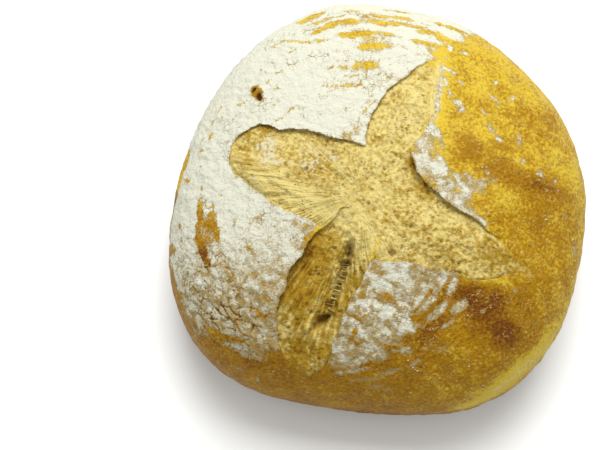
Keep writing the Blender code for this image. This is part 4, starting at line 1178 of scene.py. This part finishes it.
def fine_mesh():
    """A flat map of the crust as a mesh, finer where it needs to be: places and triangles."""
    rings = coarse_rings()
    places = np.vstack(rings)
    first = np.cumsum([0] + [len(ring) for ring in rings])
    numbers = [range(start, end) for start, end in zip(first, first[1:])]
    faces = [face for inner, outer in zip(numbers, numbers[1:]) for face in band(outer, inner)]
    flat = bpy.data.meshes.new("crust map")
    flat.from_pydata(on_flat(places).tolist(), [], faces)
    fine = needs_fine_mesh(places)
    shape = bmesh.new()
    shape.from_mesh(flat)
    edges = [edge for edge in shape.edges if fine[edge.verts[0].index] and fine[edge.verts[1].index]]
    bmesh.ops.subdivide_edges(shape, edges=edges, cuts=1)
    bmesh.ops.triangulate(shape, faces=[face for face in shape.faces if len(face.verts) > 3])
    shape.to_mesh(flat)
    shape.free()
    return flat


def vertex_array(mesh):
    """A mesh's vertex positions as an array."""
    values = np.empty(3 * len(mesh.vertices))
    mesh.vertices.foreach_get("co", values)
    return values.reshape(-1, 3)


def store(mesh, fields):
    """Keeps each field on the mesh's vertices, as a number or a vector."""
    for name, values in fields.items():
        if values.ndim == 2:
            mesh.attributes.new(name, "FLOAT_VECTOR", "POINT").data.foreach_set("vector", values.ravel())
        else:
            mesh.attributes.new(name, "FLOAT", "POINT").data.foreach_set("value", values)


def place_object(name, mesh, material):
    """Links a mesh as an object of the loaf, with its material."""
    made = bpy.data.objects.new(name, mesh)
    mesh.materials.append(material)
    bpy.context.scene.collection.objects.link(made)
    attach(made, "root")
    return made


def add(tree, kind, inputs=(), **settings):
    """Adds a node with its settings, and gives each named or numbered input a value or a link."""
    made = tree.nodes.new(kind)
    for name, value in settings.items():
        setattr(made, name, value)
    for name, value in dict(inputs).items():
        if isinstance(value, bpy.types.NodeSocket):
            tree.links.new(value, made.inputs[name])
        else:
            made.inputs[name].default_value = value
    return made


def field(tree, name):
    """A number stored on the crust."""
    return add(tree, "ShaderNodeAttribute", attribute_name=name).outputs["Fac"]


def pattern(tree, name, size, detail=2.0):
    """Noise with lumps of this size in millimetres, on coordinates stored on the crust, from 0 to 1."""
    where = add(tree, "ShaderNodeAttribute", attribute_name=name).outputs["Vector"]
    made = add(tree, "ShaderNodeTexNoise", {"Vector": where, "Scale": 1 / size, "Detail": detail})
    return made.outputs["Fac"]


def body_pattern(tree, size, detail=2.0):
    """Noise with lumps of this size in millimetres, the same from all sides, from 0 to 1."""
    where = add(tree, "ShaderNodeTexCoord").outputs["Object"]
    made = add(tree, "ShaderNodeTexNoise", {"Vector": where, "Scale": 1000 / size, "Detail": detail})
    return made.outputs["Fac"]


def scaled(tree, value, times, plus=0.0):
    """A value times one number plus another."""
    return add(tree, "ShaderNodeMath", {0: value, 1: times, 2: plus}, operation="MULTIPLY_ADD").outputs[0]


def joined(tree, operation, first, second):
    """Two values joined by a sum, a product or the like."""
    return add(tree, "ShaderNodeMath", {0: first, 1: second}, operation=operation).outputs[0]


def step_up(tree, value, low, high):
    """0 below low, 1 above high, and smooth between them."""
    made = add(tree, "ShaderNodeMapRange", {0: value, 1: low, 2: high}, interpolation_type="SMOOTHSTEP")
    return made.outputs[0]


def blend(tree, amount, first, second):
    """A colour between two others."""
    first, second = ((*end, 1.0) if isinstance(end, tuple) else end for end in (first, second))
    return add(tree, "ShaderNodeMix", {0: amount, 6: first, 7: second}, data_type="RGBA").outputs[2]


def cells(tree, size, feature, output):
    """Uneven cells of this size in millimetres, the same from all sides, a little crumpled."""
    where = add(tree, "ShaderNodeTexCoord").outputs["Object"]
    crumple = add(tree, "ShaderNodeTexNoise", {"Vector": where, "Scale": 500 / size, "Detail": 2.0})
    moved = add(tree, "ShaderNodeVectorMath",
                {0: crumple.outputs["Color"], 1: (0.0006 * size,) * 3, 2: where}, operation="MULTIPLY_ADD")
    made = add(tree, "ShaderNodeTexVoronoi", {"Vector": moved.outputs[0], "Scale": 1000 / size},
               feature=feature)
    return made.outputs[output]


def bubbles(tree, size, share):
    """Small round hollows, 1 in their middles, in this share of the cells."""
    hollow = step_up(tree, cells(tree, size, "F1", "Distance"), 0.42, 0.22)
    chosen = step_up(tree, cells(tree, size, "F1", "Color"), 0.72 - 0.5 * share, 0.78 - 0.5 * share)
    here = step_up(tree, body_pattern(tree, 5.0 * size, 2.0), 0.45, 0.62)
    return joined(tree, "MULTIPLY", joined(tree, "MULTIPLY", hollow, chosen), here)


def grained(tree, table):
    """Two patterns added up, each (size in millimetres, detail, contrast), and 0 on average."""
    first, second = (scaled(tree, body_pattern(tree, size, detail), contrast, -contrast / 2)
                     for size, detail, contrast in table)
    return joined(tree, "ADD", first, second)


def crust_colour(tree, looks):
    """Wheat dough skin browned by the oven: gold, amber and brown in soft mottles, darker to the south partly
    by painted shade, pale on the south-east rim by a painted highlight, and dark on thin lips, partly scorch
    and partly painted shade.
    """
    baked = joined(tree, "ADD", field(tree, "brown"), scaled(tree, grained(tree, CRUST_MOTTLE), 0.8))
    colour = blend(tree, step_up(tree, baked, -0.05, 0.5), tuple(looks.crust_gold), tuple(looks.crust_amber))
    colour = blend(tree, step_up(tree, baked, 0.45, 1.1), colour, tuple(looks.crust_brown))
    # Crust turns pale where it is least brown; on the south-east rim this is a painted highlight
    colour = blend(tree, step_up(tree, baked, -0.1, -0.7), colour, tuple(looks.crumb_pale))
    veil = joined(tree, "MULTIPLY", step_up(tree, body_pattern(tree, 1.4, 3.0), 0.54, 0.72),
                  step_up(tree, body_pattern(tree, 12.0, 2.0), 0.35, 0.65))
    colour = blend(tree, scaled(tree, veil, 0.5), colour, tuple(looks.crumb_pale))
    # Scorched lip edges, and painted shade on the walls below leaning lips
    return blend(tree, step_up(tree, field(tree, "scorch_and_shade"), 0.12, 0.75), colour, tuple(looks.scorched_and_shaded))


def flour_colour(tree, looks, cover):
    """Dry flour over the skin: beige where it is thin and white where it is thick, with a fine grain."""
    uneven = joined(tree, "ADD", cover, scaled(tree, grained(tree, FLOUR_GRAIN), 0.7))
    thick = joined(tree, "MULTIPLY", uneven, field(tree, "white"))
    return blend(tree, step_up(tree, thick, 0.2, 0.9), tuple(looks.flour_thin), tuple(looks.flour_white))


def crumb_colour(tree, looks, hollows):
    """Torn dough, dried by the oven: pale and gold fibres, bubbles, and flour that fell in, with painted
    shade in the bubbles, pores, holes and tear, and dark lip edges that are partly scorch and partly painted
    shade.
    """
    fibrous = scaled(tree, field(tree, "fibrous"), 0.65, 0.35)
    drawn = joined(tree, "MULTIPLY", fibrous, scaled(tree, pattern(tree, "fibres", 1.3, 3.0), 3.6, -1.8))
    even = scaled(tree, field(tree, "fibrous"), -0.7, 1.0)
    small = joined(tree, "MULTIPLY", even, scaled(tree, body_pattern(tree, 2.1, 5.0), 3.0, -1.5))
    grains = joined(tree, "ADD", small, scaled(tree, body_pattern(tree, 8.0, 5.0), 1.6, -0.8))
    uneven = scaled(tree, joined(tree, "ADD", drawn, grains), 0.6, 0.3)
    baked = joined(tree, "ADD", field(tree, "bake"), uneven)
    colour = blend(tree, step_up(tree, baked, 0.0, 0.85), tuple(looks.crumb_pale), tuple(looks.crumb_gold))
    colour = blend(tree, step_up(tree, baked, 0.8, 1.6), colour, tuple(looks.crust_brown))
    dust = joined(tree, "ADD", field(tree, "dust"), scaled(tree, body_pattern(tree, 1.9, 4.0), 2.6, -1.75))
    colour = blend(tree, scaled(tree, step_up(tree, dust, 0.12, 0.5), 0.88), colour, tuple(looks.crumb_dust))
    # Painted shade in the bubbles, pores, tear and holes
    dark = joined(tree, "MAXIMUM", scaled(tree, field(tree, "hole"), 0.6), scaled(tree, hollows, 0.45))
    colour = blend(tree, dark, colour, tuple(looks.crust_brown))
    # Scorched lip edges, and painted shade on the walls below leaning lips
    return blend(tree, step_up(tree, field(tree, "scorch_and_shade"), 0.1, 0.9), colour, tuple(looks.scorched_and_shaded))


def bread_material(looks):
    """Hearth-baked wheat bread, with a dusting of raw flour that keeps it matt and chalky."""
    material = bpy.data.materials.new("Wheat_bread_hearth_baked")
    material.use_nodes = True
    tree = material.node_tree
    tree.nodes.clear()
    crazing = step_up(tree, cells(tree, 3.4, "DISTANCE_TO_EDGE", "Distance"), 0.09, 0.01)
    crazing = joined(tree, "MULTIPLY", crazing, step_up(tree, body_pattern(tree, 15.0, 4.0), 0.5, 0.68))
    veins = step_up(tree, cells(tree, 8.0, "DISTANCE_TO_EDGE", "Distance"), 0.2, 0.0)
    veins = joined(tree, "MULTIPLY", veins, step_up(tree, body_pattern(tree, 6.0, 3.0), 0.4, 0.62))
    veins = joined(tree, "MULTIPLY", veins, step_up(tree, field(tree, "white"), 0.95, 0.6))
    grain = grained(tree, COVER_GRAIN)
    cracked = joined(tree, "ADD", scaled(tree, crazing, 0.2), scaled(tree, veins, 0.12))
    cover = joined(tree, "ADD", field(tree, "flour"), joined(tree, "SUBTRACT", grain, cracked))
    floured = step_up(tree, cover, 0.17, 0.54)
    speck = joined(tree, "MULTIPLY", step_up(tree, body_pattern(tree, 0.8, 1.0), 0.67, 0.74),
                   step_up(tree, body_pattern(tree, 9.0, 3.0), 0.44, 0.64))
    floured = joined(tree, "MAXIMUM", floured, scaled(tree, speck, 0.7))
    lines = joined(tree, "ADD", scaled(tree, veins, 0.55), scaled(tree, crazing, 0.3))
    thick = joined(tree, "SUBTRACT", cover, lines)
    skin_finish = blend(tree, floured, crust_colour(tree, looks), flour_colour(tree, looks, thick))
    hollows = joined(tree, "MAXIMUM", bubbles(tree, 2.9, 0.2), bubbles(tree, 1.5, 0.25))
    colour = blend(tree, field(tree, "open"), skin_finish, crumb_colour(tree, looks, hollows))
    rough = scaled(tree, floured, 0.38, 0.52)
    fine = joined(tree, "ADD", scaled(tree, body_pattern(tree, 0.9, 3.0), 0.6),
                  scaled(tree, body_pattern(tree, 2.4, 2.0), 2.0))
    skin_height = joined(tree, "ADD", fine, scaled(tree, crazing, -0.3))
    drawn = joined(tree, "MULTIPLY", field(tree, "fibrous"), pattern(tree, "fibres", 1.5, 2.0))
    torn_height = joined(tree, "ADD", fine, scaled(tree, drawn, 2.4))
    torn_height = joined(tree, "ADD", torn_height, scaled(tree, hollows, -0.6))
    height = add(tree, "ShaderNodeMix", {0: field(tree, "open"), 2: skin_height, 3: torn_height}).outputs[0]
    bump = add(tree, "ShaderNodeBump", {"Height": height, "Strength": 0.9 * looks.relief, "Distance": 0.0007})
    shader = add(tree, "ShaderNodeBsdfPrincipled",
                 {"Base Color": colour, "Roughness": rough, "Normal": bump.outputs[0], "IOR": 1.45,
                  "Specular IOR Level": 0.12})
    add(tree, "ShaderNodeOutputMaterial", {"Surface": shader.outputs[0]})
    return material


class LOAF_OT_bake_crust(Operator):
    """Makes the loaf's whole baked surface, crust, flour and torn crumb, in place of the plain solid"""
    bl_idname = "loaf.bake_crust"
    bl_label = "Baked surface"

    def execute(self, context):
        mesh = fine_mesh()
        places = vertex_array(mesh)[:, :2]
        points, _, fields = baked_surface(places, RING_STEP / 2)
        mesh.vertices.foreach_set("co", points.ravel())
        store(mesh, fields)
        mesh.shade_smooth()
        loaf = place_object("baked_loaf", mesh, bread_material(context.scene.loaf_looks))
        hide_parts("loaf")
        return {"FINISHED"}


def tube(centres, radii, sides):
    """Points and faces of a closed tube along a line of centres, pinched shut at its ends."""
    along = np.gradient(centres, axis=0)
    along /= np.linalg.norm(along, axis=1, keepdims=True)
    side = np.cross(along, (0.0, 0.0, 1.0))
    side /= np.linalg.norm(side, axis=1, keepdims=True)
    up = np.cross(side, along)
    turn = np.arange(sides) * 2 * math.pi / sides
    ring = np.cos(turn)[:, None, None] * side + np.sin(turn)[:, None, None] * up
    points = centres[None] + ring * radii[None, :, None]
    rows = points.transpose(1, 0, 2).reshape(-1, 3)
    faces = [tuple(range(sides))[::-1]]
    for row in range(len(centres) - 1):
        for k in range(sides):
            a, b = row * sides + k, row * sides + (k + 1) % sides
            faces.append((a, b, b + sides, a + sides))
    last = (len(centres) - 1) * sides
    return rows, faces + [tuple(range(last, last + sides))]


def joined_mesh(name, shapes):
    """One mesh of many loose shapes, each points and faces."""
    points, faces, start = [], [], 0
    for rows, corners in shapes:
        points.append(rows)
        faces += [tuple(start + corner for corner in face) for face in corners]
        start += len(rows)
    mesh = bpy.data.meshes.new(name)
    mesh.from_pydata(np.vstack(points).tolist(), [], faces)
    mesh.shade_smooth()
    return mesh


def mottled_material(name, colours, mottle, roughness, specular):
    """A material between two colours, by a mottle with this size in millimetres and these limits."""
    material = bpy.data.materials.new(name)
    material.use_nodes = True
    tree = material.node_tree
    shader = tree.nodes["Principled BSDF"]
    size, low, high = mottle
    shade = step_up(tree, body_pattern(tree, size), low, high)
    first, second = colours
    tree.links.new(blend(tree, shade, tuple(first), tuple(second)), shader.inputs["Base Color"])
    shader.inputs["Roughness"].default_value = roughness
    shader.inputs["Specular IOR Level"].default_value = specular
    return material


def crumb_thread_material(looks):
    """Strands of gluten dried to pale gold, slightly shiny because nothing dusts them."""
    return mottled_material("Gluten_threads_dried", (looks.crumb_pale, looks.crumb_gold), (1.6, 0.45, 0.9),
                            roughness=0.55, specular=0.35)


def at_row(line, row):
    """The place at a row of a line, counted with fractions."""
    return np.array([np.interp(row, range(len(line)), column) for column in line.T])


class LOAF_OT_gluten_threads(Operator):
    """Makes the strands of dough that bridge the tear at the bottom of the south hollow"""
    bl_idname = "loaf.gluten_threads"
    bl_label = "Gluten threads"

    def execute(self, context):
        looks = context.scene.loaf_looks
        random = np.random.default_rng(THREAD_SEED)
        line = through(TEAR_LINE)
        jitter = random.uniform(*THREAD_JITTER, looks.threads)
        low, high = THREAD_SPAN
        shapes = []
        for spread in (np.arange(looks.threads) + jitter) / looks.threads:
            row = (low + (high - low) * spread) * (len(line) - 1)
            here = at_row(line, row)
            ahead = at_row(line, row + 1) - here
            ahead /= np.linalg.norm(ahead)
            across = np.array([-ahead[1], ahead[0]])
            west = here - across * random.uniform(*THREAD_WEST[0]) + ahead * random.uniform(*THREAD_WEST[1])
            east = here + across * random.uniform(*THREAD_EAST[0]) + ahead * random.uniform(*THREAD_EAST[1])
            spots = np.linspace(0, 1, THREAD_RINGS)
            ends = baked_surface(np.array([west, east]), 0.0)[0]
            path = ends[0] + (ends[1] - ends[0]) * spots[:, None]
            sag = random.uniform(0.0, THREAD_SAG) * MM
            path[:, 2] -= sag * 4 * (spots * (1 - spots))
            thick, less_east, less_middle = THREAD_TAPER
            taper = thick - less_east * spots - less_middle * np.sin(math.pi * spots)
            radii = THREAD_RADIUS * MM * random.uniform(*THREAD_VARIES) * taper
            shapes.append(tube(path, radii, THREAD_SIDES))
        mesh = joined_mesh("gluten_threads", shapes)
        place_object("gluten_threads", mesh, crumb_thread_material(looks))
        return {"FINISHED"}


def loose_flour_material(looks):
    """Raw flour clumped into crumbs: white, matt and chalky."""
    return mottled_material("Wheat_flour_clumped", (looks.flour_white, looks.flour_thin), (1.2, 0.3, 0.7),
                            roughness=0.95, specular=0.2)


def crumb_of_flour(centre, radius, random):
    """A rough crumb: an icosahedron's corners pushed in and out."""
    golden = (1 + math.sqrt(5)) / 2
    corners = np.array([(-1, golden, 0), (1, golden, 0), (-1, -golden, 0), (1, -golden, 0),
                        (0, -1, golden), (0, 1, golden), (0, -1, -golden), (0, 1, -golden),
                        (golden, 0, -1), (golden, 0, 1), (-golden, 0, -1), (-golden, 0, 1)])
    faces = [(0, 11, 5), (0, 5, 1), (0, 1, 7), (0, 7, 10), (0, 10, 11), (1, 5, 9), (5, 11, 4), (11, 10, 2),
             (10, 7, 6), (7, 1, 8), (3, 9, 4), (3, 4, 2), (3, 2, 6), (3, 6, 8), (3, 8, 9), (4, 9, 5),
             (2, 4, 11), (6, 2, 10), (8, 6, 7), (9, 8, 1)]
    corners = corners / np.linalg.norm(corners[0]) * random.uniform(0.65, 1.2, (12, 1))
    return centre + corners * radius * random.uniform(0.7, 1.2, 3), faces


class LOAF_OT_flour_crumbs(Operator):
    """Scatters loose crumbs of flour over the golden crust, thickest beside the flour"""
    bl_idname = "loaf.flour_crumbs"
    bl_label = "Flour crumbs"

    def execute(self, context):
        looks = context.scene.loaf_looks
        random = np.random.default_rng(FLOUR_SEED)
        tries = random.uniform(-TRY_SIDE, TRY_SIDE, (looks.crumbs * TRIES, 2))
        tries = tries[np.hypot(*tries.T) < TRY_REACH]
        points, inward, fields = baked_surface(tries, 0.0)
        golden = (inward < -CRUMB_MARGIN) & (fields["flour"] < CRUMB_MOST_COVER)
        beside = ease((inside_by(tries, SOUTH_EAST_FLOUR) + NEAR_FLOUR) / NEAR_FLOUR)
        near_flour = strokes(tries, FLOUR_STROKES) + NEAR_FLOUR_SHARE * beside
        gathered = CLUSTER_SHARE * speckles(on_flat(tries), CLUSTERS) + near_flour - CLUSTER_LOSS
        east_side = ease((tries[:, 0] + EAST_FROM) / EAST_RUN)
        chance = golden * east_side * np.clip(gathered, LEAST_CHANCE, 1)
        kept = np.flatnonzero(random.uniform(0, 1, len(tries)) < chance)[:looks.crumbs]
        low, high = FLOUR_CRUMB_RADIUS
        shapes = []
        for k in kept:
            radius = (low + (high - low) * random.uniform() ** FLOUR_CRUMB_SMALLNESS) * MM
            shapes.append(crumb_of_flour(points[k], radius, random))
        place_object("flour_crumbs", joined_mesh("flour_crumbs", shapes), loose_flour_material(looks))
        return {"FINISHED"}


def table_material(looks):
    """A white laminate table top: even, satin, and brighter than the loaf."""
    material = bpy.data.materials.new("White_laminate")
    material.use_nodes = True
    tree = material.node_tree
    shader = tree.nodes["Principled BSDF"]
    tone = scaled(tree, body_pattern(tree, 60.0, 2.0), 0.03, 0.0)
    colour = blend(tree, tone, tuple(looks.table), tuple(looks.table_shade))
    tree.links.new(colour, shader.inputs["Base Color"])
    shader.inputs["Roughness"].default_value = 0.6
    return material


def aim(made, target):
    """Turns a light or a camera towards a point."""
    made.rotation_euler = (target - made.location).to_track_quat("-Z", "Y").to_euler()


class LOAF_OT_stage(Operator):
    """Makes the pale table, one large soft light, the room's light and the camera"""
    bl_idname = "loaf.stage"
    bl_label = "Stage"

    def execute(self, context):
        looks = context.scene.loaf_stage
        mesh = bpy.data.meshes.new("table")
        corners = [(x * TABLE_REACH, y * TABLE_REACH, 0) for x, y in ((-1, -1), (1, -1), (1, 1), (-1, 1))]
        mesh.from_pydata(corners, [], [(0, 1, 2, 3)])
        table = bpy.data.objects.new("table", mesh)
        table.location.z = -TABLE_DROP
        mesh.materials.append(table_material(looks))
        context.scene.collection.objects.link(table)
        window = bpy.data.lights.new("window", "AREA")
        window.size = looks.window_size
        window.energy = looks.window
        lamp = bpy.data.objects.new("window", window)
        lamp.location = LIGHT_AT
        aim(lamp, Vector(LIGHT_AIM))
        context.scene.collection.objects.link(lamp)
        world = bpy.data.worlds.new("room")
        world.use_nodes = True
        room = world.node_tree.nodes["Background"]
        room.inputs["Color"].default_value = (*looks.room_tint, 1.0)
        room.inputs["Strength"].default_value = looks.room
        context.scene.world = world
        camera = bpy.data.cameras.new("view")
        camera.lens = CAMERA_LENS
        camera.clip_start = CAMERA_NEAR
        viewer = bpy.data.objects.new("view", camera)
        steep = math.radians(CAMERA_ELEVATION)
        target = Vector(CAMERA_AIM) * MM
        viewer.location = target + Vector((0, -math.cos(steep), math.sin(steep))) * CAMERA_DISTANCE * MM
        aim(viewer, target)
        context.scene.collection.objects.link(viewer)
        context.scene.camera = viewer
        context.scene.view_settings.view_transform = "Standard"
        return {"FINISHED"}


class LOAF_PT_panel(Panel):
    """Lists the loaf's pieces and its colours"""
    bl_label = "Country loaf"
    bl_space_type = "VIEW_3D"
    bl_region_type = "UI"
    bl_category = "Loaf"

    def draw(self, context):
        for step in STEPS:
            self.layout.operator(step.bl_idname)
        for looks in (context.scene.loaf_looks, context.scene.loaf_stage):
            for name in looks.__annotations__:
                self.layout.prop(looks, name)


STEPS = (LOAF_OT_bake_crust, LOAF_OT_gluten_threads, LOAF_OT_flour_crumbs, LOAF_OT_stage)
CLASSES = (LoafLooks, StageLooks, *STEPS, LOAF_PT_panel)


def register():
    for made in CLASSES:
        bpy.utils.register_class(made)
    bpy.types.Scene.loaf_looks = PointerProperty(type=LoafLooks)
    bpy.types.Scene.loaf_stage = PointerProperty(type=StageLooks)


def unregister():
    del bpy.types.Scene.loaf_stage
    del bpy.types.Scene.loaf_looks
    for made in reversed(CLASSES):
        bpy.utils.unregister_class(made)


def main():
    register()
    bpy.ops.loaf.bake_crust()
    bpy.ops.loaf.gluten_threads()
    bpy.ops.loaf.flour_crumbs()
    bpy.ops.loaf.stage()


if __name__ == "__main__":
    main()
